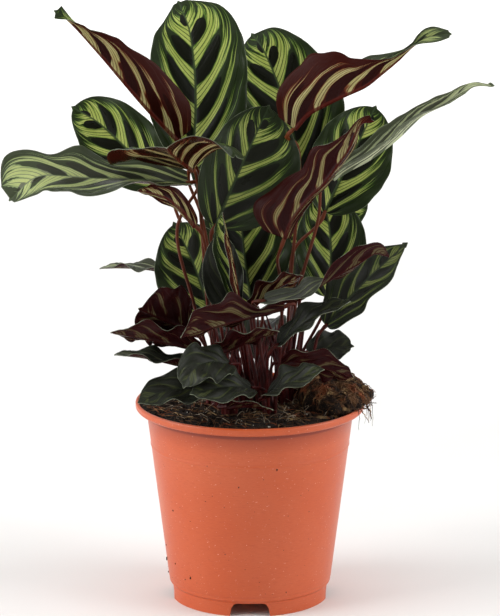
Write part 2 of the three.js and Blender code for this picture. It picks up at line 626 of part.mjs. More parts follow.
/** The clump of roots: a lumpy heap whose underside steps up over the pot's collar. */
function makeClump() {
  const positions = [];
  const heights = [clumpTop, clumpUnderside];
  for (const height of heights) {
    positions.push(CLUMP.x, CLUMP.y, height(CLUMP.x, CLUMP.y, 0));
    for (let ring = 1; ring <= CLUMP.rings; ring += 1) {
      for (let sector = 0; sector < CLUMP.sectors; sector += 1) {
        const reach = ring / CLUMP.rings;
        const angle = (2 * Math.PI * sector) / CLUMP.sectors;
        const ragged = reach * (1 + 0.09 * Math.sin(3 * angle + 1) + 0.06 * Math.sin(7 * angle));
        const x = CLUMP.x + ragged * CLUMP.radiusX * Math.cos(angle);
        const y = CLUMP.y + ragged * CLUMP.radiusY * Math.sin(angle);
        positions.push(x, y, height(x, y, reach));
      }
    }
  }
  const geometry = new THREE.BufferGeometry();
  geometry.setAttribute("position", new THREE.Float32BufferAttribute(positions, 3));
  geometry.setIndex(discTriangles(CLUMP.rings, CLUMP.sectors));
  return piece("root_clump", geometry, COLOURS.fibre, 1);
}

function clumpTop(x, y, reach) {
  const slope = 1 - CLUMP.lean * ((x - CLUMP.x) / CLUMP.radiusX);
  const heap = CLUMP.height * Math.pow(1 - reach * reach, 0.6) * slope;
  const lumps = CLUMP.lumps * Math.sin(x * 0.31 + 1) * Math.cos(y * 0.27);
  return clumpUnderside(x, y) + CLUMP.edge + heap + (1 - reach) * lumps;
}

function clumpUnderside(x, y) {
  const from = POT.neckRadius - CLUMP.overhang;
  const overRim = THREE.MathUtils.smoothstep(Math.hypot(x, y), from, POT.neckRadius);
  return THREE.MathUtils.lerp(SOIL_LEVEL, POT.height, overRim) + CLEARANCE;
}

/** Triangles of a closed disc: an upper fan of rings, the same below it, and a rim. */
function discTriangles(rings, sectors) {
  const lower = 1 + rings * sectors;
  const at = (ring, sector) => (ring === 0 ? 0 : 1 + (ring - 1) * sectors + (sector % sectors));
  const triangles = [];
  const both = (a, b, c) => triangles.push(a, b, c, lower + a, lower + c, lower + b);
  for (let sector = 0; sector < sectors; sector += 1) {
    both(0, at(1, sector), at(1, sector + 1));
    for (let ring = 1; ring < rings; ring += 1) {
      both(at(ring, sector), at(ring + 1, sector), at(ring + 1, sector + 1));
      both(at(ring, sector), at(ring + 1, sector + 1), at(ring, sector + 1));
    }
    const [from, to] = [at(rings, sector), at(rings, sector + 1)];
    triangles.push(from, lower + from, lower + to, from, lower + to, to);
  }
  return triangles;
}

// ---------------------------------------------------------------- leaves

const DEGREE = Math.PI / 180;
const vectors = (list) => list.map((xyz) => new THREE.Vector3(...xyz));
const curveThrough = (list) => new THREE.CatmullRomCurve3(vectors(list), false, "catmullrom", 0.5);

/** A value that runs evenly through a list from the base to the tip. */
function along(values, u) {
  const place = u * (values.length - 1);
  const first = Math.min(Math.floor(place), values.length - 2);
  return THREE.MathUtils.lerp(values[first], values[first + 1], place - first);
}

/** The same, without corners. */
function smoothly(values, u) {
  return curveThrough(values.map((value, i) => [i, value, 0])).getPoint(u).y;
}

/** The width of one half of the blade at a place along the midrib. */
function halfWidth(leaf, side, u) {
  const half = leaf.halves[side];
  const widest = leaf.widest ?? BLADE.widest;
  const skew = Math.log(0.5) / Math.log(widest);
  const roundness = u < widest ? BLADE.baseRoundness : (leaf.point ?? BLADE.tipRoundness);
  const ends = THREE.MathUtils.lerp(BLADE.stalkWidth, BLADE.tipWidth, u) / 2;
  const oval = Math.pow(Math.max(Math.sin(Math.PI * Math.pow(u, skew)), 0), roundness);
  const swell = leaf.outline ? smoothly(leaf.outline[side], u) : oval;
  return ends + (half - ends) * swell;
}

/** The midrib's point, direction, upper side and right-hand side at a place along it. */
function ribFrame(leaf, u) {
  const rib = curveThrough(leaf.rib);
  const point = rib.getPointAt(u);
  const forward = rib.getTangentAt(u);
  const up = curveThrough(leaf.face).getPoint(u);
  up.addScaledVector(forward, -up.dot(forward)).normalize();
  const right = new THREE.Vector3().crossVectors(forward, up);
  return { point, forward, up, right };
}

/** A point of the blade's middle surface: u along the midrib, t from -1 to 1 across it. */
function bladePoint(leaf, frame, u, t) {
  const side = t < 0 ? 0 : 1;
  const reach = Math.abs(t) * halfWidth(leaf, side, u);
  const fold = along(leaf.fold, u) * DEGREE;
  const curl = (along(leaf.curl[side], u) * DEGREE) / leaf.halves[side];
  const bend = Math.abs(curl) < 1e-5 ? 1e-5 : curl;
  const across = (Math.sin(fold + bend * reach) - Math.sin(fold)) / bend;
  const [height, count, phase] = leaf.wave;
  const ripple = height * t * t * Math.sin(2 * Math.PI * (count * u + phase + side / 2));
  const rise = (Math.cos(fold) - Math.cos(fold + bend * reach)) / bend + ripple * Math.sin(Math.PI * u);
  const point = frame.point.clone().addScaledVector(frame.right, Math.sign(t) * across);
  return point.addScaledVector(frame.up, rise);
}

/** A thin blade with the same triangles on its upper and lower faces. */
function bladeGeometry(leaf) {
  const small = leaf.halves[0] + leaf.halves[1] < SMALL_BLADE_WIDTH;
  const { rows, cells } = small ? SMALL_BLADE : LARGE_BLADE;
  const columns = 2 * cells;
  const middle = [];
  for (let row = 0; row <= rows; row += 1) {
    const u = (1 - Math.cos((Math.PI * row) / rows)) / 2;
    const frame = ribFrame(leaf, u);
    middle.push(Array.from({ length: columns + 1 }, (_, c) => bladePoint(leaf, frame, u, c / cells - 1)));
  }
  const positions = [];
  for (const face of [1, -1]) {
    middle.forEach((line, row) => {
      line.forEach((point, column) => {
        const normal = surfaceNormal(middle, row, column);
        const ridge = face < 0 && column === cells ? BLADE.midribRelief * (1 - row / rows) : 0;
        positions.push(...point.clone().addScaledVector(normal, face * (BLADE.thickness / 2 + ridge)));
      });
    });
  }
  const geometry = new THREE.BufferGeometry();
  geometry.setAttribute("position", new THREE.Float32BufferAttribute(positions, 3));
  geometry.setIndex(slabTriangles(rows, columns));
  return geometry;
}

/** The upward normal of a grid of points. */
function surfaceNormal(grid, row, column) {
  const last = grid.length - 1;
  const edge = grid[0].length - 1;
  const ahead = grid[Math.min(row + 1, last)][column];
  const behind = grid[Math.max(row - 1, 0)][column];
  const right = grid[row][Math.min(column + 1, edge)];
  const left = grid[row][Math.max(column - 1, 0)];
  const across = new THREE.Vector3().subVectors(right, left);
  const forward = new THREE.Vector3().subVectors(ahead, behind);
  return across.cross(forward).normalize();
}

/** Triangles of a closed slab: an upper grid, the same grid below it, and a rim. */
function slabTriangles(rows, columns) {
  const lower = (rows + 1) * (columns + 1);
  const at = (row, column) => row * (columns + 1) + column;
  const triangles = [];
  for (let row = 0; row < rows; row += 1) {
    for (let column = 0; column < columns; column += 1) {
      const [a, b] = [at(row, column), at(row, column + 1)];
      const [d, c] = [at(row + 1, column), at(row + 1, column + 1)];
      triangles.push(a, b, c, a, c, d);
      triangles.push(lower + a, lower + c, lower + b, lower + a, lower + d, lower + c);
    }
  }
  const rim = [];
  for (let column = 0; column < columns; column += 1) {
    rim.push(at(0, column));
  }
  for (let row = 0; row < rows; row += 1) {
    rim.push(at(row, columns));
  }
  for (let column = columns; column > 0; column -= 1) {
    rim.push(at(rows, column));
  }
  for (let row = rows; row > 0; row -= 1) {
    rim.push(at(row, 0));
  }
  rim.forEach((from, i) => {
    const to = rim[(i + 1) % rim.length];
    triangles.push(from, lower + from, lower + to, from, lower + to, to);
  });
  return triangles;
}

const LEAF_COLOURS = {
  light: COLOURS.upperLight,
  dark: COLOURS.upperDark,
  under: COLOURS.underside,
};

function makeLeaf(name, leaf) {
  return piece(name, bladeGeometry(leaf), LEAF_COLOURS[leaf.kind], 0.4);
}

// ---------------------------------------------------------------- stalks

/** A closed tube along a curve, with a radius that changes on the way. */
function tapered(curve, radiusAt, steps, sides) {
  const frames = curve.computeFrenetFrames(steps, false);
  const positions = [];
  for (let step = 0; step <= steps; step += 1) {
    const u = step / steps;
    const centre = curve.getPointAt(u);
    for (let side = 0; side < sides; side += 1) {
      const angle = (2 * Math.PI * side) / sides;
      const spoke = frames.normals[step].clone().multiplyScalar(Math.cos(angle));
      spoke.addScaledVector(frames.binormals[step], Math.sin(angle));
      positions.push(...centre.clone().addScaledVector(spoke, radiusAt(u)));
    }
  }
  const triangles = [];
  for (let step = 0; step < steps; step += 1) {
    for (let side = 0; side < sides; side += 1) {
      const a = step * sides + side;
      const b = step * sides + ((side + 1) % sides);
      triangles.push(a, b, b + sides, a, b + sides, a + sides);
    }
  }
  for (let side = 1; side < sides - 1; side += 1) {
    triangles.push(0, side + 1, side);
    triangles.push(steps * sides, steps * sides + side, steps * sides + side + 1);
  }
  const geometry = new THREE.BufferGeometry();
  geometry.setAttribute("position", new THREE.Float32BufferAttribute(positions, 3));
  geometry.setIndex(triangles);
  return geometry;
}

/** A leaf's stalk, from the shoot's crown to just short of the blade. */
function stalkSolid(leaf) {
  const [x, y] = SHOOTS[leaf.shoot];
  const { point, forward } = ribFrame(leaf, 0);
  const end = point.clone().addScaledVector(forward, -CLEARANCE);
  const knee = point.clone().addScaledVector(forward, -PETIOLE.straight);
  const start = new THREE.Vector3(x, y, SOIL_LEVEL + CROWN.stalksFrom);
  const rise = new THREE.Vector3(x, y, SOIL_LEVEL + CROWN.stalksTo);
  const way = [start, rise, ...vectors(leaf.stalk), knee, end];
  const curve = new THREE.CatmullRomCurve3(way, false, "centripetal");
  const steps = Math.ceil(curve.getLength() / PETIOLE.step) + 2;
  const radiusAt = (u) => {
    const sheath = PETIOLE.sheathRadius * THREE.MathUtils.smoothstep(0.45 - u, 0, 0.4);
    const pulvinus = PETIOLE.pulvinusRadius * THREE.MathUtils.smoothstep(u, 0.9, 0.96);
    return Math.max(PETIOLE.radius, sheath, pulvinus);
  };
  return solid(tapered(curve, radiusAt, steps, PETIOLE.sides));
}

/** The crown in the soil where a shoot's stalks meet. */
function crownSolid([x, y]) {
  const bottom = SOIL_LEVEL - SOIL.holeDepth + CLEARANCE;
  const profile = [
    [0, bottom],
    [CROWN.radius, bottom],
    [CROWN.radius, SOIL_LEVEL + CROWN.shoulder],
    [CROWN.topRadius, SOIL_LEVEL + CROWN.above],
    [0, SOIL_LEVEL + CROWN.above + CROWN.tip],
  ];
  return solid(turned(profile, CROWN.sides).translate(x, y, 0));
}

function makeShoot(name) {
  const stalks = Object.values(LEAVES).filter((leaf) => leaf.shoot === name).map(stalkSolid);
  const shoot = joined([crownSolid(SHOOTS[name]), ...stalks]);
  return piece(name, surfaceOf(shoot), COLOURS.petiole, 0.5);
}

// ---------------------------------------------------------------- plant

const plant = new THREE.Group();
plant.add(makePot(), makeSoil(), makeClump());
plant.add(...Object.keys(SHOOTS).map(makeShoot));
plant.add(...Object.entries(LEAVES).map(([name, leaf]) => makeLeaf(name, leaf)));

export default plant;
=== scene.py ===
"""Peacock plant in its plastic nursery pot: the looks of every piece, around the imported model.

Laid out as a Blender add-on and run as a script. Sizes are millimetres until a mesh is made.
+Z is up, the pot stands on z = 0 about the Z axis, and -Y is the plant's front.
"""

import math

import bpy
import numpy as np
from bpy.props import FloatProperty, FloatVectorProperty, IntProperty, PointerProperty
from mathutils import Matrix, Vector, noise


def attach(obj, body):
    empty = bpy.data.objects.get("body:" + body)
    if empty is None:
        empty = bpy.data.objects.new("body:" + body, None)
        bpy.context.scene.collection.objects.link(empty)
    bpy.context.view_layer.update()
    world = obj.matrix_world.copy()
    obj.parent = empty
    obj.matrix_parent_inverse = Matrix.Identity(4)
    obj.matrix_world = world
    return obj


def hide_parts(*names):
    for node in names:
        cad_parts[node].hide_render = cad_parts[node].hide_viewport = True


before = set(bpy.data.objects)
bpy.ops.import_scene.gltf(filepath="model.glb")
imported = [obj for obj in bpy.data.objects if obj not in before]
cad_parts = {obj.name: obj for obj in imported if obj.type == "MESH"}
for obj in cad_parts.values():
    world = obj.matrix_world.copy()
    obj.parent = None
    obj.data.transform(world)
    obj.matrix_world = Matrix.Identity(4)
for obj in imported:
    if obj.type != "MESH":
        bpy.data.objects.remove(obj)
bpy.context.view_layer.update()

bl_info = {
    "name": "Peacock plant",
    "version": (1, 0, 0),
    "blender": (4, 5, 0),
    "location": "View3D > Sidebar > Plant",
    "description": "Builds a potted peacock plant, piece by piece, around its packed model",
    "category": "Add Mesh",
}

MM = 0.001  # one millimetre in Blender's metres

# ------------------------------------------------------------------ the plant's form

POT_HEIGHT = 150
RIM_RADIUS = 85
NECK_RADIUS = 77  # body just under the collar
BODY_FOOT_RADIUS = 60.3
FOOT_RADIUS = 58.5
FOOT_HEIGHT = 12
FOOT_STEP = 1.5
FLOOR_BOTTOM = 12.4
WALL = 1.4
COLLAR_BASE = 143.5
COLLAR_SLOPE = 0.6
COLLAR_LIP = 1.5
RIM_EDGE = 0.8
RING_HEIGHT = 118
NOTCH = {"count": 4, "top": 26.5, "bottom": 30, "height": 10, "corner": 4}

SOIL_LEVEL = 147.4
SOIL_RADIUS = 82.2
CLUMP = {
    "x": 62, "y": 4, "radius_x": 27, "radius_y": 44,
    "height": 15, "edge": 2.5, "lean": 0.6, "overhang": 9,
}

# Where each shoot leaves the soil.
SHOOTS = {
    "stems_left": (-24, -14),
    "stems_back_left": (-16, 16),
    "stems_centre": (0, -4),
    "stems_back": (6, 26),
    "stems_right": (26, 2),
    "stems_back_right": (30, 24),
    "stems_front_left": (-14, -36),
    "stems_front": (14, -34),
}

# Each leaf: its shoot, the full width of its left and right halves, its midrib from base to
# tip, the way its upper side faces, the fold of each half up from the midrib, the further
# curl of the left and right halves up to their margins (base, middle, tip, in degrees), the
# margin's waves (height, number, phase), and what its stalk passes on its way up.
LEAVES = {
    "leaf_top_centre": dict(
        shoot="stems_back_left", kind="light", halves=[36, 39],
        outline=[
            [0.2, 0.66, 0.9, 1, 1, 0.93, 0.82, 0.58, 0.1],
            [0.2, 0.62, 0.86, 0.97, 1, 1, 0.93, 0.72, 0.15],
        ],
        rib=[[-44, -6, 327], [-40, -4, 358], [-40, 2, 392], [-44, 12, 424], [-52, 24, 443]],
        face=[[0, -1, 0.15], [0.05, -1, 0.1], [-0.1, -0.9, 0.5]],
        fold=[14, 8, 5], curl=[[20, 8, 10], [14, 4, -10]], wave=[2, 2.5, 0.2],
        stalk=[[-24, 4, 220], [-36, 2, 290]],
    ),
    "leaf_top_right": dict(
        shoot="stems_back_right", kind="light", halves=[40, 43],
        rib=[[38, 32, 308], [32, 35, 344], [22, 42, 377], [10, 52, 404], [2, 60, 414]],
        face=[[0, -1, 0.1], [0.05, -1, 0.15], [-0.05, -0.9, 0.4]],
        fold=[12, 8, 5], curl=[[15, 8, 10], [14, 6, -8]], wave=[2, 2.5, 0.6],
        stalk=[[38, 28, 230]],
    ),
    "leaf_curled_top_right": dict(
        shoot="stems_right", kind="under", halves=[32, 34],
        outline=[
            [0.4, 0.85, 1, 1, 0.84, 0.62, 0.42, 0.12, 0.06, 0.22, 0.08],
            [0.4, 0.85, 1, 1, 0.84, 0.62, 0.42, 0.12, 0.06, 0.22, 0.08],
        ],
        rib=[
            [32, -26, 359], [42, -31, 371], [54, -38, 379], [68, -45, 387], [82, -49, 394],
            [93, -51, 403], [105, -51, 413], [116, -50, 423], [127, -50, 429], [141, -50, 431],
        ],
        face=[
            [-0.5, 0.3, 0.8], [-0.5, 0.35, 0.8], [-0.5, 0.35, 0.8], [-0.5, 0.35, 0.8],
            [-0.4, 0.1, 0.8], [0, -0.8, 0.5], [0, -0.9, 0.4],
        ],
        fold=[50, 62, 70, 20], curl=[[50, 30, 20], [50, 25, 20]], wave=[2.5, 2, 0],
        stalk=[[30, 2, 240], [36, -4, 318], [34, -14, 345]],
    ),
    "leaf_curled_top_left": dict(
        shoot="stems_centre", kind="under", halves=[28, 26],
        outline=[
            [0.4, 0.88, 1, 0.95, 0.86, 0.78, 0.7, 0.52, 0.26, 0.1, 0.2],
            [0.4, 0.88, 1, 0.95, 0.86, 0.78, 0.7, 0.52, 0.26, 0.1, 0.2],
        ],
        rib=[[-52, -32, 352], [-76, -44, 380], [-104, -54, 415], [-125, -62, 440], [-136, -66, 449]],
        face=[
            [0.55, 0.3, 0.75], [0.6, 0.3, 0.7], [0.6, 0.3, 0.7], [0.6, 0.3, 0.7], [0.6, 0.3, 0.7],
            [0.5, 0.2, 0.7], [0.2, -0.9, 0.4],
        ],
        fold=[50, 62, 70, 20], curl=[[55, 30, 20], [50, 25, 20]], wave=[1.5, 2, 0.4],
        stalk=[[-14, -6, 220], [-30, -16, 305]],
    ),
    "leaf_back_left": dict(
        shoot="stems_back_left", kind="light", halves=[28, 28],
        rib=[[-64, 38, 306], [-90, 42, 330], [-112, 46, 350], [-131, 50, 361]],
        face=[[-0.2, -1, 0.2], [-0.1, -1, 0.2], [-0.2, -1, 0.3]],
        fold=[14, 10, 6], curl=[[20, 10, 10], [15, 10, 5]], wave=[2, 2.5, 0.1],
        stalk=[[-24, 26, 190], [-36, 34, 240], [-56, 38, 288]],
    ),
    "leaf_long_left": dict(
        shoot="stems_left", kind="light", halves=[32, 32],
        outline=[
            [0.3, 0.72, 0.92, 1, 1, 0.94, 0.8, 0.5, 0.12],
            [0.25, 0.5, 0.55, 0.56, 0.66, 0.75, 0.62, 0.84, 0.36],
        ],
        rib=[[-45, -20, 318], [-80, -38, 324], [-115, -54, 328], [-150, -64, 331], [-170, -70, 316]],
        face=[[0.1, -0.5, 0.85], [0, -0.45, 0.9], [-0.1, -0.5, 0.85], [-0.5, -0.75, 0.3]],
        fold=[24, 14, 6], curl=[[40, 14, 0], [40, 20, 8]], wave=[4.2, 2.5, 0.3],
        stalk=[[-41, -15, 226], [-53, -16, 284]],
    ),
    "leaf_folded_left": dict(
        shoot="stems_left", kind="under", halves=[54, 50],
        rib=[[-42, -38, 331], [-50, -62, 342], [-55, -84, 351], [-58, -104, 359]],
        face=[[-0.34, 0.4, 1], [-0.34, 0.4, 1], [-0.3, 0.3, 1]],
        fold=[28, 34, 26], curl=[[-60, -115, -100], [-10, -30, -30]], wave=[5, 2, 0.25],
        stalk=[[-31, -18, 226], [-36, -24, 296]],
    ),
    "leaf_centre": dict(
        shoot="stems_centre", kind="light", halves=[29, 44],
        rib=[[-25, -24, 287], [-15, -25, 311], [-3, -23, 338], [13, -14, 372]],
        face=[[0.1, -1, 0.15], [0.1, -1, 0.15], [0.1, -1, 0.3]],
        fold=[14, 10, 6], curl=[[20, 10, 8], [14, 4, 0]], wave=[2, 2.5, 0.8],
        stalk=[[-8, -14, 220]],
    ),
    "leaf_back_right": dict(
        shoot="stems_back_right", kind="light", halves=[31, 31],
        rib=[[55, 10, 290], [69, 14, 319], [82, 20, 345], [92, 26, 365]],
        face=[[0.1, -1, 0.1], [0.1, -1, 0.2], [0.1, -0.8, 0.5]],
        fold=[14, 8, 6], curl=[[15, 10, 20], [15, 8, 15]], wave=[2, 2.5, 0.3],
        stalk=[[30, 22, 225], [33, 12, 262]],
    ),
    "leaf_long_right": dict(
        shoot="stems_right", kind="light", halves=[12, 12], widest=0.36, point=1.2,
        rib=[
            [60, -14, 320], [72, -18, 328], [88, -24, 338], [105, -29, 352], [123, -34, 370],
            [141, -38, 380], [158, -38, 392], [173, -36, 392],
        ],
        face=[[-0.5, -0.4, 0.75], [-0.5, -0.4, 0.75], [-0.4, -0.6, 0.7], [-0.2, -0.8, 0.6]],
        fold=[40, 34, 24], curl=[[60, 50, 40], [50, 45, 40]], wave=[1.5, 2, 0.6],
        stalk=[[35, -8, 232], [50, -10, 290]],
    ),
    "leaf_curled_centre": dict(
        shoot="stems_right", kind="under", halves=[13, 31],
        outline=[
            [0.3, 0.35, 0.35, 0.35, 0.45, 0.7, 1, 1, 0.7, 0.4, 0.1],
            [0.5, 1, 0.78, 0.7, 0.6, 0.66, 0.74, 0.46, 0.24, 0.1, 0.15],
        ],
        rib=[
            [25, -48, 283], [29, -52, 295], [35, -54, 305], [43, -56, 315], [52, -58, 324],
            [62, -60, 338], [71, -61, 352], [78, -61, 368], [86, -60, 370],
        ],
        face=[[-0.2, 1, 0.2], [-0.3, 1, 0.2], [-0.3, 0.6, 0.4]],
        fold=[6, 24, 24], curl=[[10, 50, 50], [50, 40, 40]], wave=[1.5, 2, 0.2],
        stalk=[[23, -10, 225], [22, -14, 246], [20, -34, 264]],
    ),
    "leaf_mid_left": dict(
        shoot="stems_back_left", kind="light", halves=[31, 31],
        rib=[[-29, 16, 209], [-36, 18, 232], [-44, 20, 254], [-56, 24, 278]],
        face=[[-0.1, -1, 0.1], [-0.1, -1, 0.1], [-0.1, -1, 0.2]],
        fold=[12, 8, 6], curl=[[15, 10, 5], [15, 10, 5]], wave=[2, 2.5, 0.5],
        stalk=[],
    ),
    "leaf_small_back_left": dict(
        shoot="stems_back_left", kind="dark", halves=[10, 10],
        rib=[[-50, 66, 226], [-68, 70, 233], [-84, 76, 234], [-100, 82, 233], [-113, 88, 231]],
        face=[[0, -0.1, 1], [0, -0.05, 1], [0, -0.1, 1]],
        fold=[16, 8, 10], curl=[[15, 10, 5], [15, 10, 5]], wave=[2.2, 2.5, 0.5],
        stalk=[[-30, 40, 190]],
    ),
    "leaf_mid_centre": dict(
        shoot="stems_back", kind="light", halves=[36, 36],
        rib=[[1, 30, 218], [-3, 33, 244], [-6, 38, 270], [-10, 44, 300]],
        face=[[0.1, -1, 0], [0.1, -1, 0.1], [0.1, -1, 0.1]],
        fold=[12, 10, 6], curl=[[15, 4, 0], [15, 4, 0]], wave=[2, 2.5, 0.9],
        stalk=[],
    ),
    "leaf_mid_right": dict(
        shoot="stems_back_right", kind="light", halves=[27, 27],
        rib=[[57, 20, 224], [60, 22, 250], [59, 26, 274], [54, 34, 298]],
        face=[[0, -1, 0.1], [0, -1, 0.1], [0, -1, 0.2]],
        fold=[12, 8, 6], curl=[[15, 8, 5], [15, 8, 5]], wave=[2, 2.5, 0.3],
        stalk=[],
    ),
    "leaf_mid_back": dict(
        shoot="stems_back", kind="light", halves=[22, 22],
        rib=[[28, 58, 258], [58, 62, 276], [88, 66, 288]],
        face=[[0, -1, 0.3], [0, -1, 0.3]],
        fold=[12, 8, 6], curl=[[15, 8, 5], [15, 8, 5]], wave=[1.5, 2.5, 0.1],
        stalk=[[20, 30, 190], [26, 44, 235]],
    ),
    "leaf_twisted_right": dict(
        shoot="stems_front", kind="under", halves=[13, 13], point=0.9,
        outline=[
            [0.4, 0.75, 0.9, 0.75, 0.4, 0.6, 1, 0.75, 0.1],
            [0.4, 0.75, 0.9, 0.75, 0.4, 0.6, 1, 0.75, 0.1],
        ],
        rib=[
            [10, -52, 237], [34, -64, 242], [54, -70, 256], [75, -72, 268], [89, -68, 276],
            [98, -62, 273],
        ],
        face=[[0, -0.5, 0.85], [-0.2, -0.3, 0.9], [-0.4, 0.7, 0.5], [-0.3, 0.5, 0.7]],
        fold=[20, 14, 20], curl=[[30, 25, 40], [30, 20, 40]], wave=[3.4, 2.5, 0.2],
        stalk=[[7, -33, 205], [9, -37, 223]],
    ),
    "leaf_low_right": dict(
        shoot="stems_right", kind="dark", halves=[20, 21], point=0.95,
        rib=[[56, -10, 209], [73, -14, 231], [88, -18, 248], [113, -24, 273]],
        face=[[-0.2, -0.8, 0.5], [-0.3, -0.75, 0.6], [-0.2, -0.9, 0.4]],
        fold=[16, 12, 10], curl=[[20, 15, 20], [20, 15, 20]], wave=[4.2, 2.5, 0.4],
        stalk=[[46, -6, 186]],
    ),
    "leaf_small_right": dict(
        shoot="stems_front", kind="dark", halves=[12, 12], point=0.8,
        rib=[[20, -50, 204], [36, -56, 220], [51, -60, 231], [70, -62, 239]],
        face=[[-0.3, -0.5, 0.8], [-0.3, -0.5, 0.8]],
        fold=[16, 12, 10], curl=[[20, 15, 20], [20, 15, 20]], wave=[3.4, 2.5, 0],
        stalk=[],
    ),
    "leaf_round_right": dict(
        shoot="stems_right", kind="dark", halves=[14, 14], point=0.35,
        rib=[[42, 8, 184], [59, 6, 188], [75, 4, 190]],
        face=[[0, -0.7, 0.75], [0, -0.6, 0.8]],
        fold=[12, 8, 6], curl=[[15, 10, 10], [15, 10, 10]], wave=[3.4, 2.5, 0.3],
        stalk=[],
    ),
    "leaf_maroon_right": dict(
        shoot="stems_front", kind="under", halves=[20, 14],
        rib=[[24, -42, 188], [40, -54, 191], [57, -60, 189], [73, -62, 184]],
        face=[[0, 0.7, 0.7], [0, 0.8, 0.6], [0.2, 0.8, 0.5]],
        fold=[14, 10, 8], curl=[[20, 15, 20], [20, 15, 20]], wave=[4.2, 2.5, 0.2],
        stalk=[],
    ),
    "leaf_round_left": dict(
        shoot="stems_front_left", kind="under", halves=[27, 22], point=0.35,
        rib=[[-47, -35, 213], [-63, -45, 222], [-79, -51, 231]],
        face=[[0.3, 0.95, 0.25], [0.3, 0.95, 0.2]],
        fold=[14, 10, 8], curl=[[30, 35, 30], [-30, -40, -30]], wave=[3.4, 2.5, 0.1],
        stalk=[],
    ),
    "leaf_flat_left": dict(
        shoot="stems_front_left", kind="under", halves=[17, 17],
        rib=[[-37, -42, 199], [-62, -56, 208], [-80, -66, 214], [-98, -73, 219]],
        face=[[0, 0.6, 0.8], [0, 0.6, 0.8]],
        fold=[14, 10, 8], curl=[[20, 15, 20], [20, 15, 20]], wave=[3.4, 2.5, 0.4],
        stalk=[],
    ),
    "leaf_cupped_centre": dict(
        shoot="stems_front", kind="under", halves=[22, 18],
        outline=[
            [0.2, 0.3, 0.34, 0.6, 1, 1, 0.9, 0.7, 0.1],
            [0.2, 0.5, 0.66, 0.76, 0.85, 0.8, 0.6, 0.3, 0.1],
        ],
        rib=[[24, -46, 231], [8, -53, 228], [-11, -62, 225], [-31, -70, 221], [-48, -76, 217]],
        face=[[0, 0.75, 0.65], [0, 0.75, 0.65]],
        fold=[14, 12, 10], curl=[[20, 25, 30], [30, 35, 30]], wave=[4.2, 2.5, 0.1],
        stalk=[],
    ),
    "leaf_narrow_left": dict(
        shoot="stems_left", kind="dark", halves=[11, 11],
        rib=[[-34, -32, 181], [-57, -46, 190], [-77, -53, 196], [-96, -58, 199]],
        face=[[0, -0.3, 0.95], [0, -0.1, 0.95]],
        fold=[16, 12, 10], curl=[[20, 15, 20], [20, 15, 20]], wave=[3.4, 2.5, 0.2],
        stalk=[],
    ),
    "leaf_drooping_left": dict(
        shoot="stems_front_left", kind="dark", halves=[20, 16],
        rib=[[-14, -58, 192], [-28, -71, 197], [-40, -80, 194], [-47, -86, 183]],
        face=[[-0.1, -0.6, 0.8], [-0.2, -0.75, 0.6], [-0.5, -0.8, 0.2]],
        fold=[12, 8, 6], curl=[[15, 5, -10], [15, 5, -10]], wave=[4.2, 2.5, 0.3],
        stalk=[],
    ),
    "leaf_low_left": dict(
        shoot="stems_front_left", kind="dark", halves=[14, 16],
        rib=[[-24, -46, 169], [-44, -60, 174], [-62, -68, 174], [-79, -74, 168]],
        face=[[0, -0.6, 0.8], [0, -0.6, 0.8], [-0.3, -0.7, 0.6]],
        fold=[12, 8, 6], curl=[[15, 5, -10], [15, 5, -10]], wave=[3, 2.5, 0.6],
        stalk=[],
    ),
    "leaf_low_centre": dict(
        shoot="stems_front", kind="dark", halves=[16, 16],
        rib=[[2, -62, 175], [-12, -76, 180], [-27, -84, 180], [-41, -88, 178]],
        face=[[0, -0.6, 0.8], [0, -0.6, 0.8]],
        fold=[12, 8, 6], curl=[[15, 5, -10], [15, 5, -10]], wave=[4.2, 2.5, 0.1],
        stalk=[],
    ),
    "leaf_lowest_front": dict(
        shoot="stems_front_left", kind="under", halves=[10, 10],
        rib=[[-16, -54, 159], [-1, -66, 163], [15, -76, 163]],
        face=[[0, 0.5, 0.85], [0, 0.4, 0.9]],
        fold=[12, 8, 6], curl=[[15, 5, 5], [15, 5, 5]], wave=[1.5, 2, 0.3],
        stalk=[],
    ),
    "leaf_low_front_right": dict(
        shoot="stems_front", kind="dark", halves=[14, 14],
        rib=[[12, -56, 168], [22, -68, 178], [36, -77, 186], [51, -84, 194]],
        face=[[-0.3, -0.4, 0.85], [-0.3, -0.4, 0.85]],
        fold=[14, 10, 8], curl=[[20, 15, 10], [20, 15, 10]], wave=[3.4, 2.5, 0.3],
        stalk=[],
    ),
    "leaf_maroon_centre": dict(
        shoot="stems_front_left", kind="under", halves=[15, 15],
        rib=[[-26, -45, 196], [-12, -52, 203], [3, -60, 211], [19, -66, 218]],
        face=[[-0.2, 0.5, 0.8], [-0.2, 0.5, 0.8]],
        fold=[14, 10, 8], curl=[[20, 15, 10], [20, 15, 10]], wave=[3.4, 2.5, 0.5],
        stalk=[],
    ),
    "leaf_mid_front": dict(
        shoot="stems_centre", kind="under", halves=[22, 12],
        rib=[[-1, -30, 226], [10, -33, 236], [22, -35, 245], [36, -36, 252]],
        face=[[-0.2, 0.4, 0.9], [-0.2, 0.6, 0.7], [-0.2, 0.6, 0.7]],
        fold=[14, 10, 8], curl=[[20, 15, 10], [20, 15, 10]], wave=[3.4, 2.5, 0.7],
        stalk=[],
    ),
    "leaf_thin_rolled": dict(
        shoot="stems_centre", kind="under", halves=[12, 12],
        rib=[[-9, -40, 234], [-12, -43, 256], [-16, -45, 279], [-20, -46, 299]],
        face=[[-0.8, -0.6, 0], [-0.8, -0.6, 0]],
        fold=[24, 24, 24], curl=[[70, 70, 60], [50, 50, 50]], wave=[1, 2, 0.2],
        stalk=[],
    ),
    "leaf_dark_centre": dict(
        shoot="stems_left", kind="dark", halves=[16, 16],
        rib=[[-15, -30, 222], [-18, -31, 243], [-20, -32, 264], [-21, -33, 282]],
        face=[[-0.2, -1, 0], [-0.2, -1, 0]],
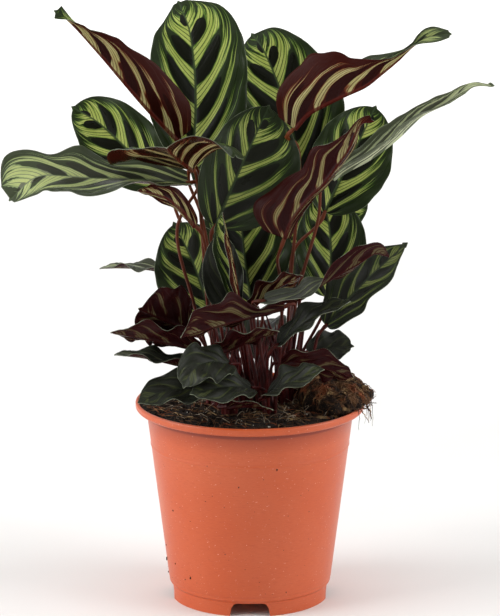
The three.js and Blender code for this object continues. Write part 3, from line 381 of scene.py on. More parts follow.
        fold=[14, 10, 8], curl=[[20, 15, 10], [20, 15, 10]], wave=[1.5, 2, 0.2],
        stalk=[],
    ),
    "leaf_rolled_left": dict(
        shoot="stems_left", kind="under", halves=[9, 9],
        rib=[[-40, -30, 288], [-52, -37, 304], [-65, -44, 314], [-79, -50, 318]],
        face=[[0.2, 0.7, 0.7], [0, 0.8, 0.6], [0, 0.8, 0.6]],
        fold=[20, 16, 12], curl=[[40, 30, 20], [30, 20, 20]], wave=[1.5, 2, 0.2],
        stalk=[],
    ),
    "leaf_rear_top": dict(
        shoot="stems_back", kind="light", halves=[28, 28],
        rib=[[-12, 52, 276], [-18, 70, 304], [-22, 88, 322], [-24, 106, 329]],
        face=[[0, -0.7, 0.7], [0, -0.5, 0.85], [0, -0.1, 1]],
        fold=[14, 10, 6], curl=[[20, 10, 5], [20, 10, 5]], wave=[2, 2.5, 0.2],
        stalk=[[-2, 40, 220]],
    ),
    "leaf_rear_right": dict(
        shoot="stems_back_right", kind="light", halves=[25, 25],
        rib=[[32, 52, 212], [34, 70, 236], [36, 89, 245], [36, 106, 240]],
        face=[[0, -0.6, 0.8], [0, -0.3, 1], [0, 0.2, 1]],
        fold=[14, 10, 6], curl=[[20, 10, 5], [20, 10, 5]], wave=[2, 2.5, 0.5],
        stalk=[],
    ),
    "leaf_rear_left": dict(
        shoot="stems_back", kind="dark", halves=[23, 23],
        rib=[[-10, 44, 176], [-18, 66, 192], [-24, 86, 197], [-26, 104, 190]],
        face=[[0, -0.6, 0.8], [0, -0.3, 1], [0, 0.2, 1]],
        fold=[14, 10, 6], curl=[[20, 10, 5], [20, 10, 5]], wave=[2, 2.5, 0.7],
        stalk=[],
    ),
    "leaf_rear_low": dict(
        shoot="stems_back", kind="dark", halves=[20, 20],
        rib=[[8, 48, 168], [8, 68, 184], [10, 90, 189], [10, 106, 180]],
        face=[[0, -0.6, 0.8], [0, -0.3, 1], [0, 0.2, 1]],
        fold=[14, 10, 6], curl=[[20, 10, 5], [20, 10, 5]], wave=[2, 2.5, 0.9],
        stalk=[],
    ),
}

# A blade's outline: where it is widest, how round its ends are, and their width in mm.
BLADE = {"widest": 0.48, "base_roundness": 0.52, "tip_roundness": 0.55, "stalk_width": 3, "tip_width": 1}
# How far each kind of leaf is darkened, from 0 to 1, partly by age and partly by painted shade.
DARKENING_BY_KIND = {"light": 0.0, "dark": 0.96, "under": 0.05}
LOW_LEAF_HEIGHTS = (215, 262)  # leaves with their middle lower than this are darkened, partly by age and partly by shade painted under the upper leaves
LOW_LEAF_SHARE = 0.93  # how far they are darkened, towards LOW_LEAF_DARKENING
LOW_LEAF_DARKENING = 0.9
SLOTS = {"light": "leaf_upper_light", "dark": "leaf_upper_dark", "under": "leaf_underside"}
# Leaves unlike the rest of their kind: how far each is darkened, partly by age and partly by painted shade,
# and how much whitish sheen is painted over its upper side and its underside.
LOOKS = {
    "leaf_curled_top_right": (0.08, 0.2, 0),
    "leaf_long_left": (0.08, 0.25, 0),
    "leaf_long_right": (0, 0.6, 0.75),
    "leaf_twisted_right": (0.85, 0.1, 0),
    "leaf_small_back_left": (0.7, 0.3, 0),
    # Painted shade: this leaf is darkened for the shadow of the leaves above it.
    "leaf_centre": (0.3, 0, 0),
    "leaf_narrow_left": (0.9, 0.1, 0),
    "leaf_low_right": (0.6, 0, 0),
    "leaf_round_right": (0.95, 0, 0),
    "leaf_curled_centre": (0.45, 0, 0),
}
YOUNG = ("leaf_long_right",)  # still green underneath
# Half the width of a band and of a lobe as shares of the way from one lobe to the next, a lobe's
# length as a share of the way out to the margin, and how far patches widen or narrow the bands.
UPPER_SHAPES = {
    "band_root": 0.31, "band_waist": 0.22, "band_spread": 0.32,
    "lobe_width": 0.32, "lobe_length": 0.5, "uneven": 0.12,
}
UNDER_SHAPES = {
    "band_root": 0.31, "band_waist": 0.25, "band_spread": 0.12,
    "lobe_width": 0.3, "lobe_length": 0.54, "uneven": 0.8,
}
BLADE_LAYERS = (
    "light", "light_deep", "net", "vein", "fringe", "margin", "lobe", "old", "pale", "midrib", "edge",
)

# ------------------------------------------------------------------ fineness and finish

LARGE_GRID = {"rows": 84, "cells": 22}  # rows along the midrib, cells in each half
SMALL_GRID = {"rows": 60, "cells": 15}
SMALL_BLADE = 50  # full width under which a blade gets the small grid
VEIN_TURN = (0.76, 0.32, 0.97)  # how far forward side veins sweep: at the base, gain, most
ROW_CROWDING = (0.55, 0.45)  # shares of a blade's rows that are even, and that crowd at its ends
COLUMN_POWER = 1.35  # how much its columns crowd at the midrib
TIP_ROWS = (0.25, 0.5, 0.75, 1)  # rows of a blade's drip tip, as shares of its length
# Relief of a blade in mm: features of the outline's wobble and of the ruffle, the groove over the
# midrib and the ridge under it.
RELIEF = {"wobble": 12, "ruffle": 13, "groove": 0.8, "groove_width": 1.6, "ridge": 1.5, "ridge_width": 1.0}
WOBBLE = 0.05  # most that the outline's wobble adds to a half's width, as a share
LOBE_SPACING = 58  # a blade gains one dark lobe on each side for each such length
VEIN_PHASE = 0.1  # where the first lobe stands, as a share of the way to the next
LEFT_PHASE = 100.5  # added in the left half: its lobes stand half a lobe off, with their own chances
PLEAT_PHASE = 0.77  # the same for the soft waves between the veins
# How far the noise of one blade lies from that of the next, and of one half from the other.
NOISE_STEPS = {"outline": 7.3, "half": 31, "ruffle": 50.0, "markings": 3.0}
STALK_STEPS = 64
STALK_SIDES = 12
SOIL_GRID = {"rings": 74, "sectors": 230}
HEAP_GRID = {"rings": 44, "sectors": 130}
LUMP_GRID = {"rows": 5, "sides": 7}  # of a crumb, grain or speck
FIBRE_STEPS = 8
ROOTLET_STEPS = 10
STRAND_STEPS = 12
STRAND_SIDES = 4  # of anything as thin as a fibre
PERLITE_GRAINS = 60
CRUMB_SIZES = (0.5, 2.2)
PERLITE_SIZES = (0.5, 1.5)
# Relief of the peat and of the heap: depth and feature size in mm, and the noise's own number.
PEAT_RELIEF = ((0.9, 9, 1), (0.8, 3.6, 2), (0.3, 1.9, 3))
HEAP_RELIEF = ((3.4, 12, 4), (3, 5, 5), (1.6, 2.4, 6))
SOIL_DOME = {"rise": 1.5, "lumps": 1.1}  # how far the peat stands up in its middle, and its lumps
# The ball of peat from its foot up to its edge: radius and height.
PEAT_WALLS = ((57.5, FLOOR_BOTTOM + WALL + 0.35), (58.2, 16), (66, 80), (74.9, 145), (SOIL_RADIUS, 146))
# A crown: heights that its line passes, from the soil's level, and its radius at heights.
CROWN_LINE = (-20, 0, 18, 20)
CROWN_HEIGHTS = (-20, 3, 10, 18, 20)
CROWN_RADII = (5.4, 5.4, 4.6, 2.8, 0.6)
FLOOR_HALF = 30000  # half the studio floor's width
AIM = (0, 0, 0.24)  # what the softboxes point at, in m

SEED = 7


def linear(code):
    """An sRGB hex colour as the linear values that shaders take."""
    parts = [int(code[i:i + 2], 16) / 255 for i in (1, 3, 5)]
    return tuple(p / 12.92 if p <= 0.04045 else ((p + 0.055) / 1.055) ** 2.4 for p in parts)


# ------------------------------------------------------------------ curves and meshes

def spline(points, places, power=0.0):
    """A Catmull-Rom curve through points at places from 0 to 1, spaced by distance to a power."""
    p = np.asarray(points, float)
    ends = np.vstack([2 * p[0] - p[1], p, 2 * p[-1] - p[-2]])
    gaps = np.linalg.norm(np.diff(ends, axis=0), axis=1) ** power
    where = np.clip(places, 0, 1) * (len(p) - 1)
    i = np.minimum(where.astype(int), len(p) - 2)
    w = (where - i)[:, None]
    before, start, end, after = (ends[i + k] for k in range(4))
    d0, d1, d2 = (gaps[i + k][:, None] for k in range(3))
    leave = ((start - before) / d0 - (end - before) / (d0 + d1) + (end - start) / d1) * d1
    reach = ((end - start) / d1 - (after - start) / (d1 + d2) + (after - end) / d2) * d1
    rise = 3 * (end - start) - 2 * leave - reach
    turn = 2 * (start - end) + leave + reach
    return start + w * leave + w ** 2 * rise + w ** 3 * turn


def even(points, places, power=0.0):
    """Points and directions at even lengths along a curve, and the curve's length."""
    fine = np.linspace(0, 1, 600)
    line = spline(points, fine, power)
    run = np.concatenate([[0], np.cumsum(np.linalg.norm(np.diff(line, axis=0), axis=1))])
    at = np.interp(np.asarray(places) * run[-1], run, fine)
    step = 1e-3
    ahead = spline(points, np.minimum(at + step, 1), power)
    behind = spline(points, np.maximum(at - step, 0), power)
    return spline(points, at, power), unit(ahead - behind), run[-1]


def unit(vectors):
    """The vectors, each made one long."""
    return vectors / np.maximum(np.linalg.norm(vectors, axis=-1, keepdims=True), 1e-12)


def smooth(low, high, x):
    """A soft step from 0 at low to 1 at high."""
    t = np.clip((x - low) / (high - low), 0, 1)
    return t * t * (3 - 2 * t)


def wander(points, size, seed=0):
    """Smooth noise from about -1 to 1 at points in mm, with features of the given size."""
    shift = Vector((seed * 13.7, seed * 5.1, seed * 9.3))
    return np.array([noise.noise(Vector(p) / size + shift) for p in points])


def mesh_object(name, points, faces, materials, corners=None, values=None, indices=None):
    """A mesh from points in mm and arrays of quads or triangles, with corner UVs and face values."""
    mesh = bpy.data.meshes.new(name)
    mesh.vertices.add(len(points))
    mesh.vertices.foreach_set("co", (np.asarray(points, float) * MM).ravel())
    sizes = np.concatenate([np.full(len(f), f.shape[1]) for f in faces])
    mesh.loops.add(int(sizes.sum()))
    mesh.loops.foreach_set("vertex_index", np.concatenate([f.ravel() for f in faces]).astype(np.int32))
    mesh.polygons.add(len(sizes))
    mesh.polygons.foreach_set("loop_start", np.concatenate([[0], np.cumsum(sizes)[:-1]]).astype(np.int32))
    mesh.polygons.foreach_set("use_smooth", np.ones(len(sizes), bool))
    for label, pairs in (corners or {}).items():
        mesh.uv_layers.new(name=label).data.foreach_set("uv", np.asarray(pairs, float).ravel())
    for label, numbers in (values or {}).items():
        mesh.attributes.new(label, "FLOAT", "FACE").data.foreach_set("value", np.asarray(numbers, float))
    for material in materials:
        mesh.materials.append(material)
    if indices is not None:
        mesh.polygons.foreach_set("material_index", np.asarray(indices, np.int32))
    mesh.update(calc_edges=True)
    piece = bpy.data.objects.new(name, mesh)
    bpy.context.scene.collection.objects.link(piece)
    return piece


def settle(piece, slot, *nodes):
    """The piece rides on the plant and stands for the named nodes; its slot is not used."""
    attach(piece, "root")
    if nodes:
        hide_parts(*nodes)


def grid_faces(rows, columns, closed=False):
    """Quads of a grid of points numbered row by row, whose columns may close into a ring."""
    row, column = np.meshgrid(np.arange(rows - 1), np.arange(columns - (not closed)), indexing="ij")
    a = row * columns + column
    b = row * columns + (column + 1) % columns
    return np.stack([a, b, b + columns, a + columns], axis=-1).reshape(-1, 4)


def lathe_faces(rows, columns):
    """Faces of a form made of rings numbered row by row, then a point that closes each end."""
    ring = np.arange(columns)
    around = np.roll(ring, -1)
    tip = np.full(columns, rows * columns)
    last = (rows - 1) * columns
    first_end = np.stack([tip, around, ring], axis=-1)
    last_end = np.stack([tip + 1, last + ring, last + around], axis=-1)
    return [grid_faces(rows, columns, closed=True), np.concatenate([first_end, last_end])]


def tubes(paths, radii, sides):
    """Closed tubes along N paths of S points: their points, and their quads and end faces."""
    count, steps, _ = paths.shape
    forward = unit(np.gradient(paths, axis=1))
    normal = np.zeros_like(paths)
    side = np.where(np.abs(forward[:, 0, 1:2]) < 0.9, [[0.0, 1, 0]], [[1.0, 0, 0]])
    for s in range(steps):
        side = unit(side - forward[:, s] * (side * forward[:, s]).sum(-1, keepdims=True))
        normal[:, s] = side
    other = np.cross(forward, normal)
    turn = 2 * np.pi * np.arange(sides) / sides
    ring = normal[:, :, None] * np.cos(turn)[:, None] + other[:, :, None] * np.sin(turn)[:, None]
    points = paths[:, :, None] + ring * radii[:, :, None, None]
    first = np.arange(count)[:, None, None] * steps * sides
    wall = (grid_faces(steps, sides, closed=True)[None] + first).reshape(-1, 4)
    cap = np.arange(sides)
    bottom = cap[::-1] + first[:, 0]
    top = cap + (steps - 1) * sides + first[:, 0]
    return points.reshape(-1, 3), [wall, np.concatenate([bottom, top])]


# ------------------------------------------------------------------ materials

def add(tree, kind, inputs=None, **settings):
    """Adds a node with its settings; an input is a number, a colour or another node's socket."""
    node = tree.nodes.new(kind)
    for key, value in settings.items():
        setattr(node, key, value)
    for key, value in (inputs or {}).items():
        if isinstance(value, bpy.types.NodeSocket):
            tree.links.new(value, node.inputs[key])
        else:
            node.inputs[key].default_value = value
    return node


def new_material(name):
    """An empty material with its node tree, surface shader and output."""
    material = bpy.data.materials.new(name)
    material.use_nodes = True
    tree = material.node_tree
    tree.nodes.clear()
    shader = add(tree, "ShaderNodeBsdfPrincipled")
    add(tree, "ShaderNodeOutputMaterial", {"Surface": shader.outputs[0]})
    return material, tree, shader


# How a blade is marked. vein counts the dark lobes along one side, and follows the side veins;
# across runs from midrib to margin, outward does so too but also reaches 1 at the tip, and start
# is where a vein leaves the midrib. A step is a result, an operation and its operands, which are
# numbers or earlier results.
MARKINGS = (
    ("phase", "FRACT", "vein"),
    ("rough", "SUBTRACT", "ragged", 0.5),
    ("frayed", "SUBTRACT", "finger", 0.5),
    ("left", "SUBTRACT", 1, "start"),
    ("left", "MULTIPLY", "left", 2.6),
    ("left", "MINIMUM", "left", 1),
    ("bare", "SUBTRACT", 1, "left"),
    # Light bands between the lobes: they part into fingers outwards, and meet at the tip.
    ("band", "ADD", "phase", 0.63),
    ("band", "FRACT", "band"),
    ("band", "SUBTRACT", "band", 0.5),
    ("aside", "ABSOLUTE", "band"),
    ("open", "SMOOTHSTEP", "outward", 0, 0.3, "band_root", "band_waist"),
    ("spread", "SMOOTHSTEP", "outward", 0.42, 0.8, 0, "band_spread"),
    ("high", "SMOOTHSTEP", "start", 0.1, 0.65, 0.25, 1),
    ("open", "MULTIPLY_ADD", "spread", "high", "open"),
    ("open", "MULTIPLY_ADD", "bare", 0.34, "open"),
    ("vary", "MULTIPLY_ADD", "chance_b", 0.13, -0.09),
    ("open", "ADD", "open", "vary"),
    ("open", "MULTIPLY_ADD", "rough", 0.08, "open"),
    ("vary", "SUBTRACT", "patch", 0.5),
    ("open", "MULTIPLY_ADD", "vary", "uneven", "open"),
    ("open", "MULTIPLY_ADD", "age_and_shade", -0.13, "open"),
    ("inside", "SUBTRACT", "open", "aside"),
    ("light", "SMOOTHSTEP", "inside", -0.012, 0.016, 0, 1),
    ("bright", "SMOOTHSTEP", "inside", 0.0, 0.07, 0, 1),
    ("end", "SMOOTHSTEP", "start", 0, 0.5, 0.72, 0.81),
    ("end", "MULTIPLY_ADD", "frayed", 0.8, "end"),
    ("end", "SUBTRACT", "end", "outward"),
    ("out", "SMOOTHSTEP", "end", -0.03, 0.02, 0, 1),
    ("light", "MULTIPLY", "light", "out"),
    ("out", "SMOOTHSTEP", "end", 0, 0.12, 0, 1),
    ("bright", "MULTIPLY", "bright", "out"),
    ("split", "MULTIPLY_ADD", "rough", 0.25, "parted"),
    ("split", "FRACT", "split"),
    ("split", "SUBTRACT", "split", 0.5),
    ("split", "ABSOLUTE", "split"),
    ("vary", "MULTIPLY_ADD", "frayed", 3.5, 1),
    ("gap", "SMOOTHSTEP", "outward", 0.4, 0.92, -0.06, 0.2),
    ("gap", "MULTIPLY", "gap", "vary"),
    ("gap", "SUBTRACT", "split", "gap"),
    ("apart", "SMOOTHSTEP", "gap", -0.015, 0.025, 0, 1),
    ("light", "MULTIPLY", "light", "apart"),
    ("apart", "SMOOTHSTEP", "gap", 0, 0.13, 0, 1),
    ("bright", "MULTIPLY", "bright", "apart"),
    # Fine dark veins along the bands.
    ("line", "MULTIPLY_ADD", "rough", 0.14, "lines"),
    ("line", "FRACT", "line"),
    ("line", "SUBTRACT", "line", 0.5),
    ("line", "ABSOLUTE", "line"),
    ("line", "SMOOTHSTEP", "line", 0.05, 0.18, 0.95, 0),
    ("margin", "SUBTRACT", 1, "light"),
    ("fringe", "SUBTRACT", 1, "bright"),
    # Painted sheen: a whitish wash over the colour, strongest on the pale bands, as strong as the leaf's pale
    # value.
    ("painted_sheen", "MULTIPLY_ADD", "light", 0.8, 0.2),
    ("painted_sheen", "MULTIPLY", "painted_sheen", "pale"),
    # Dark lobes: oval, narrow at the midrib, and small near the tip.
    ("length", "MULTIPLY_ADD", "chance_a", 0.14, "lobe_length"),
    ("length", "MULTIPLY", "length", "left"),
    ("length", "MAXIMUM", "length", 0.01),
    ("place", "DIVIDE", "across", "length"),
    ("place", "MULTIPLY_ADD", "place", 1.9, -0.9),
    ("place", "ABSOLUTE", "place"),
    ("place", "POWER", "place", 2.1),
    ("place", "SUBTRACT", 1, "place"),
    ("place", "MAXIMUM", "place", 0),
    ("place", "SQRT", "place"),
    ("small", "MULTIPLY_ADD", "left", 0.55, 0.45),
    ("width", "MULTIPLY_ADD", "chance_b", -0.05, "lobe_width"),
    ("width", "MULTIPLY", "width", "small"),
    ("width", "MULTIPLY", "width", "place"),
    ("width", "MULTIPLY_ADD", "rough", 0.06, "width"),
    ("off", "SUBTRACT", "phase", 0.37),
    ("off", "ABSOLUTE", "off"),
    ("off", "SUBTRACT", "width", "off"),
    ("lobe", "SMOOTHSTEP", "off", -0.014, 0.014, 0, 1),
    # The midrib and the thin pale edge, by their distance in mm.
    ("rib", "MULTIPLY_ADD", "start", -0.85, 1.35),
    ("rib", "SUBTRACT", "from_rib", "rib"),
    ("rib", "SMOOTHSTEP", "rib", -0.25, 0.3, 0.9, 0),
    ("edge", "SMOOTHSTEP", "from_edge", 0.05, 0.3, 0.7, 0),
)


# How often the noise over a blade varies, along its midrib for each lobe and from midrib to margin.
BLADE_NOISES = {"ragged": (22, 9, 1), "finger": (11, 0.6, 1), "patch": (1.3, 2.6, 1)}
BLADE_CELLS = (60, 42, 1)  # meshes of the fine net, counted the same way
VEINS_A_LOBE = 7  # fine dark veins from one lobe to the next
FINGERS_A_LOBE = 2.6  # fingers that a pale band parts into, counted the same way


def blade_material(name, palette, shapes, roughness, gloss, net):
    """A living blade: waxy skin over coloured cells, marked along its veins, with painted sheen and painted
    shade mixed into some blades' colour.
    """
    material, tree, shader = new_material(name)
    maps = [add(tree, "ShaderNodeUVMap", uv_map=label).outputs[0] for label in ("veins", "reach", "place")]
    (vein, across), (from_rib, from_edge), (start, outward) = (
        add(tree, "ShaderNodeSeparateXYZ", {0: place}).outputs[:2] for place in maps
    )
    seed, age_and_shade, pale = (
        add(tree, "ShaderNodeAttribute", attribute_name=label).outputs["Fac"]
        for label in ("seed", "age_and_shade", "pale")
    )
    cell = add(tree, "ShaderNodeMath", {0: vein}, operation="FLOOR").outputs[0]
    key = add(tree, "ShaderNodeMath", {0: cell, 1: seed}, operation="ADD").outputs[0]
    chance = add(tree, "ShaderNodeTexWhiteNoise", {"W": key}, noise_dimensions="1D").outputs["Color"]
    chances = add(tree, "ShaderNodeSeparateColor", {0: chance}).outputs
    offset = add(tree, "ShaderNodeCombineXYZ", {0: seed, 1: seed}).outputs[0]
    shifted = add(tree, "ShaderNodeVectorMath", {0: maps[0], 1: offset}, operation="ADD").outputs[0]
    found = {
        "vein": vein, "across": across, "from_rib": from_rib, "from_edge": from_edge,
        "start": start, "outward": outward, "age_and_shade": age_and_shade, "pale": pale,
        "chance_a": chances[0], "chance_b": chances[1], **shapes,
    }
    for label, pace in BLADE_NOISES.items():
        at = add(tree, "ShaderNodeVectorMath", {0: shifted, 1: pace}, operation="MULTIPLY").outputs[0]
        found[label] = add(tree, "ShaderNodeTexNoise", {"Vector": at, "Scale": 1, "Detail": 1}).outputs[0]
    for label, pace in (("lines", VEINS_A_LOBE), ("parted", FINGERS_A_LOBE)):
        found[label] = add(tree, "ShaderNodeMath", {0: vein, 1: pace}, operation="MULTIPLY").outputs[0]
    for result, operation, *operands in MARKINGS:
        inputs = {i: found.get(o, o) for i, o in enumerate(operands)}
        if operation == "SMOOTHSTEP":
            ramp = add(tree, "ShaderNodeMapRange", inputs, interpolation_type="SMOOTHSTEP")
            found[result] = ramp.outputs[0]
        else:
            found[result] = add(tree, "ShaderNodeMath", inputs, operation=operation).outputs[0]

    at = add(tree, "ShaderNodeVectorMath", {0: shifted, 1: BLADE_CELLS}, operation="MULTIPLY").outputs[0]
    walls = add(tree, "ShaderNodeTexVoronoi", {"Vector": at, "Scale": 1}, feature="DISTANCE_TO_EDGE")
    cells = walls.outputs[0]
    netting = add(tree, "ShaderNodeMapRange", {0: cells, 1: 0.02, 2: 0.22, 3: net, 4: 0}).outputs[0]
    tone = add(tree, "ShaderNodeTexNoise", {"Vector": shifted, "Scale": 2.2, "Detail": 3}).outputs[0]
    tone = add(tree, "ShaderNodeMapRange", {0: tone, 1: 0.35, 2: 0.65}).outputs[0]
    # Layers in turn over the band colour: the old layer darkens by age and by painted shade, and the pale
    # layer is painted sheen.
    layers = (
        ("light_deep", tone), ("net", netting), ("vein", found["line"]), ("fringe", found["fringe"]),
        ("margin", found["margin"]), ("lobe", found["lobe"]), ("midrib", found["rib"]), ("old", age_and_shade),
        ("pale", found["painted_sheen"]), ("edge", found["edge"]),
    )
    colour = (*palette["light"], 1)
    for layer, factor in layers:
        inputs = {0: factor, 6: colour, 7: (*palette[layer], 1)}
        colour = add(tree, "ShaderNodeMix", inputs, data_type="RGBA").outputs[2]
    tree.links.new(colour, shader.inputs["Base Color"])

    sheen = add(tree, "ShaderNodeMapRange", {0: tone, 3: roughness - 0.05, 4: roughness + 0.07}).outputs[0]
    tree.links.new(sheen, shader.inputs["Roughness"])
    inputs = {0: found["line"], 1: -0.6, 2: cells}
    lift = add(tree, "ShaderNodeMath", inputs, operation="MULTIPLY_ADD").outputs[0]
    bump = add(tree, "ShaderNodeBump", {"Strength": 0.5, "Distance": 0.15 * MM, "Height": lift})
    tree.links.new(bump.outputs[0], shader.inputs["Normal"])
    shader.inputs["IOR"].default_value = 1.45
    shader.inputs["Specular IOR Level"].default_value = gloss
    return material


def rim_material():
    """The cut-thin edge of a blade: pale collenchyma that catches the light."""
    material, tree, shader = new_material("Leaf_edge_pale")
    spot = add(tree, "ShaderNodeTexNoise", {"Scale": 220, "Detail": 2}).outputs[0]
    pale, green = (*linear("#8f9680"), 1), (*linear("#59634a"), 1)
    colour = add(tree, "ShaderNodeMix", {0: spot, 6: pale, 7: green}, data_type="RGBA").outputs[2]
    tree.links.new(colour, shader.inputs["Base Color"])
    shader.inputs["Roughness"].default_value = 0.45
    shader.inputs["IOR"].default_value = 1.45
    return material


PLAIN = (1, 1, 1)  # noise that is stretched no way


def layered_material(name, base, layers, roughness, bumps, ior=1.5, gloss=0.5):
    """A surface of one base colour with noise patches over it, and noise relief.

    base is a linear colour; layers are (hex, feature size in mm, low, high, stretch) and bumps
    are (feature size in mm, depth in mm, stretch).
    """
    material, tree, shader = new_material(name)
    where = add(tree, "ShaderNodeTexCoord").outputs["Object"]
    colour = (*base, 1)
    for tint, size, low, high, stretch in layers:
        at = add(tree, "ShaderNodeVectorMath", {0: where, 1: stretch}, operation="MULTIPLY").outputs[0]
        spots = {"Vector": at, "Scale": 1 / (size * MM), "Detail": 3}
        patch = add(tree, "ShaderNodeTexNoise", spots).outputs[0]
        factor = add(tree, "ShaderNodeMapRange", {0: patch, 1: low, 2: high}).outputs[0]
        mix = add(tree, "ShaderNodeMix", {0: factor, 6: colour, 7: (*linear(tint), 1)}, data_type="RGBA")
        colour = mix.outputs[2]
    tree.links.new(colour, shader.inputs["Base Color"])
    normal = None
    for size, depth, stretch in bumps:
        at = add(tree, "ShaderNodeVectorMath", {0: where, 1: stretch}, operation="MULTIPLY").outputs[0]
        grain = {"Vector": at, "Scale": 1 / (size * MM), "Detail": 2}
        height = add(tree, "ShaderNodeTexNoise", grain).outputs[0]
        inputs = {"Strength": 1, "Distance": depth * MM, "Height": height}
        if normal:
            inputs["Normal"] = normal
        normal = add(tree, "ShaderNodeBump", inputs).outputs[0]
    if normal:
        tree.links.new(normal, shader.inputs["Normal"])
    shader.inputs["Roughness"].default_value = roughness
    shader.inputs["IOR"].default_value = ior
    shader.inputs["Specular IOR Level"].default_value = gloss
    return material


# ------------------------------------------------------------------ pot

def rounded(corners, steps=4):
    """A profile of (radius, height, rounding) corners with each corner turned into an arc."""
    line = []
    for i, (x, y, size) in enumerate(corners):
        here = np.array([x, y], float)
        if size == 0 or i in (0, len(corners) - 1):
            line.append(here)
            continue
        back = np.array(corners[i - 1][:2], float) - here
        ahead = np.array(corners[i + 1][:2], float) - here
        size = min(size, np.linalg.norm(back) / 2.1, np.linalg.norm(ahead) / 2.1)
        start = here + unit(back) * size
        end = here + unit(ahead) * size
        for t in np.linspace(0, 1, steps + 1):
            line.append((1 - t) ** 2 * start + 2 * t * (1 - t) * here + t ** 2 * end)
    return np.array(line)


def notch_outline():
    """The arch of one foot notch as (half width, height) pairs, from its foot to its crown."""
    corner = NOTCH["corner"]
    side_top = NOTCH["height"] - corner
    lean = (NOTCH["bottom"] - NOTCH["top"]) / 2
    outline = [(NOTCH["bottom"] / 2, 0)]
    outline += [(NOTCH["bottom"] / 2 - lean * z / NOTCH["height"], z) for z in (side_top / 2, side_top)]
    for t in (0.25, 0.5, 0.75, 1):
        angle = t * math.pi / 2
        x = NOTCH["top"] / 2 - corner * (1 - math.cos(angle))
        outline.append((x, side_top + corner * math.sin(angle)))
    return outline


def pot_columns(smooth_columns):
    """The lathe's column angles, with the height that the foot is cut up to at each."""
    outline = notch_outline()
    half = math.pi / NOTCH["count"]
    angles, cuts = [], []
    edge = math.asin(outline[0][0] / FOOT_RADIUS)
    crown = math.asin(outline[-1][0] / FOOT_RADIUS)
    plain = np.linspace(-half, -edge, smooth_columns // NOTCH["count"] // 2, endpoint=False)
    across = np.linspace(-crown, 0, 6, endpoint=False)[1:]
    left = [(a, 0) for a in plain] + [(-edge - 0.004, 0)]
    left += [(-math.asin(x / FOOT_RADIUS), z) for x, z in outline] + [(a, NOTCH["height"]) for a in across]
    quarter = left + [(0, NOTCH["height"])] + [(-a, z) for a, z in left[:0:-1]]
    for turn in range(NOTCH["count"]):
        for angle, cut in quarter:
            angles.append(angle + 2 * half * turn)
            cuts.append(cut)
    return np.array(angles), np.array(cuts)


def body(z):
    """The radius of the pot's tapered wall at a height."""
    slope = (NECK_RADIUS - BODY_FOOT_RADIUS) / (COLLAR_BASE - FOOT_HEIGHT)
    return BODY_FOOT_RADIUS + slope * (z - FOOT_HEIGHT)


def pot_profile():
    """The pot's wall from the middle of its underside, out round the rim and back in."""
    collar_low = COLLAR_BASE + COLLAR_SLOPE
    inside = RIM_RADIUS - WALL - RIM_EDGE
    shelf = COLLAR_BASE + WALL
    inner_foot = FOOT_RADIUS - WALL
    corners = [(0, FLOOR_BOTTOM, 0), (20, FLOOR_BOTTOM, 0), (inner_foot, FLOOR_BOTTOM, 0.8)]
    corners += [(inner_foot, z, 0) for z in (9, 6, 3)]
    corners += [(inner_foot, 0, 0.3), (FOOT_RADIUS, 0, 0.3)]
    corners += [(FOOT_RADIUS, z, 0) for z in (3, 6, 9)]
    corners += [(FOOT_RADIUS, FOOT_HEIGHT - FOOT_STEP, 0.5)]
    corners += [(BODY_FOOT_RADIUS - 0.5, FOOT_HEIGHT - 0.4, 0.5), (BODY_FOOT_RADIUS, FOOT_HEIGHT + 0.3, 0.5)]
    groove, groove_top = FOOT_HEIGHT + 2.6, FOOT_HEIGHT + 3.4
    corners += [(body(groove) - 0.25, groove, 0.3), (body(groove_top), groove_top, 0.3)]
    corners += [(body(z), z, 0) for z in (35, 60, 85, 105, RING_HEIGHT - 1.6)]
    crest = body(RING_HEIGHT) + 0.35
    corners += [(crest, RING_HEIGHT - 0.7, 0.5), (crest, RING_HEIGHT + 0.7, 0.5)]
    corners += [(body(RING_HEIGHT + 1.6), RING_HEIGHT + 1.6, 0), (body(130), 130, 0)]
    corners += [(NECK_RADIUS, COLLAR_BASE, 0.9), (RIM_RADIUS - COLLAR_LIP, collar_low, 0.6)]
    corners += [(RIM_RADIUS, collar_low + COLLAR_LIP, 0.9), (RIM_RADIUS, POT_HEIGHT - RIM_EDGE, 0.7)]
    corners += [(RIM_RADIUS - RIM_EDGE, POT_HEIGHT, 0.5), (inside, POT_HEIGHT, 0.5)]
    corners += [(inside, shelf + COLLAR_SLOPE, 0.5), (NECK_RADIUS - WALL, shelf, 0.5)]
    corners += [(BODY_FOOT_RADIUS - WALL, FLOOR_BOTTOM + WALL, 0.5), (0, FLOOR_BOTTOM + WALL, 0)]
    return rounded(corners)


def make_pot(settings):
    """The pot, turned as on a lathe with its foot cut up to the notches, and the specks on it."""
    angles, cuts = pot_columns(settings.columns)
    profile = pot_profile()
    radius, height = profile[1:-1, 0], profile[1:-1, 1]
    top = FOOT_HEIGHT - FOOT_STEP
    low = height[:, None] < top
    lifted = cuts[None] + height[:, None] / top * (top - cuts[None])
    z = np.where(low, lifted, height[:, None])
    x = radius[:, None] * np.sin(angles)[None]
    y = -radius[:, None] * np.cos(angles)[None]
    points = np.stack([x, y, z], axis=-1).reshape(-1, 3)
    ends = np.array([[0, 0, profile[0, 1]], [0, 0, profile[-1, 1]]])
    pot = mesh_object("pot_shell", np.vstack([points, ends]), lathe_faces(*z.shape), [pot_material(settings)])
    sharp = pot.modifiers.new("crisp_edges", "WEIGHTED_NORMAL")
    sharp.keep_sharp = True
    settle(pot, "pot_plastic", "pot")
    make_specks(settings)


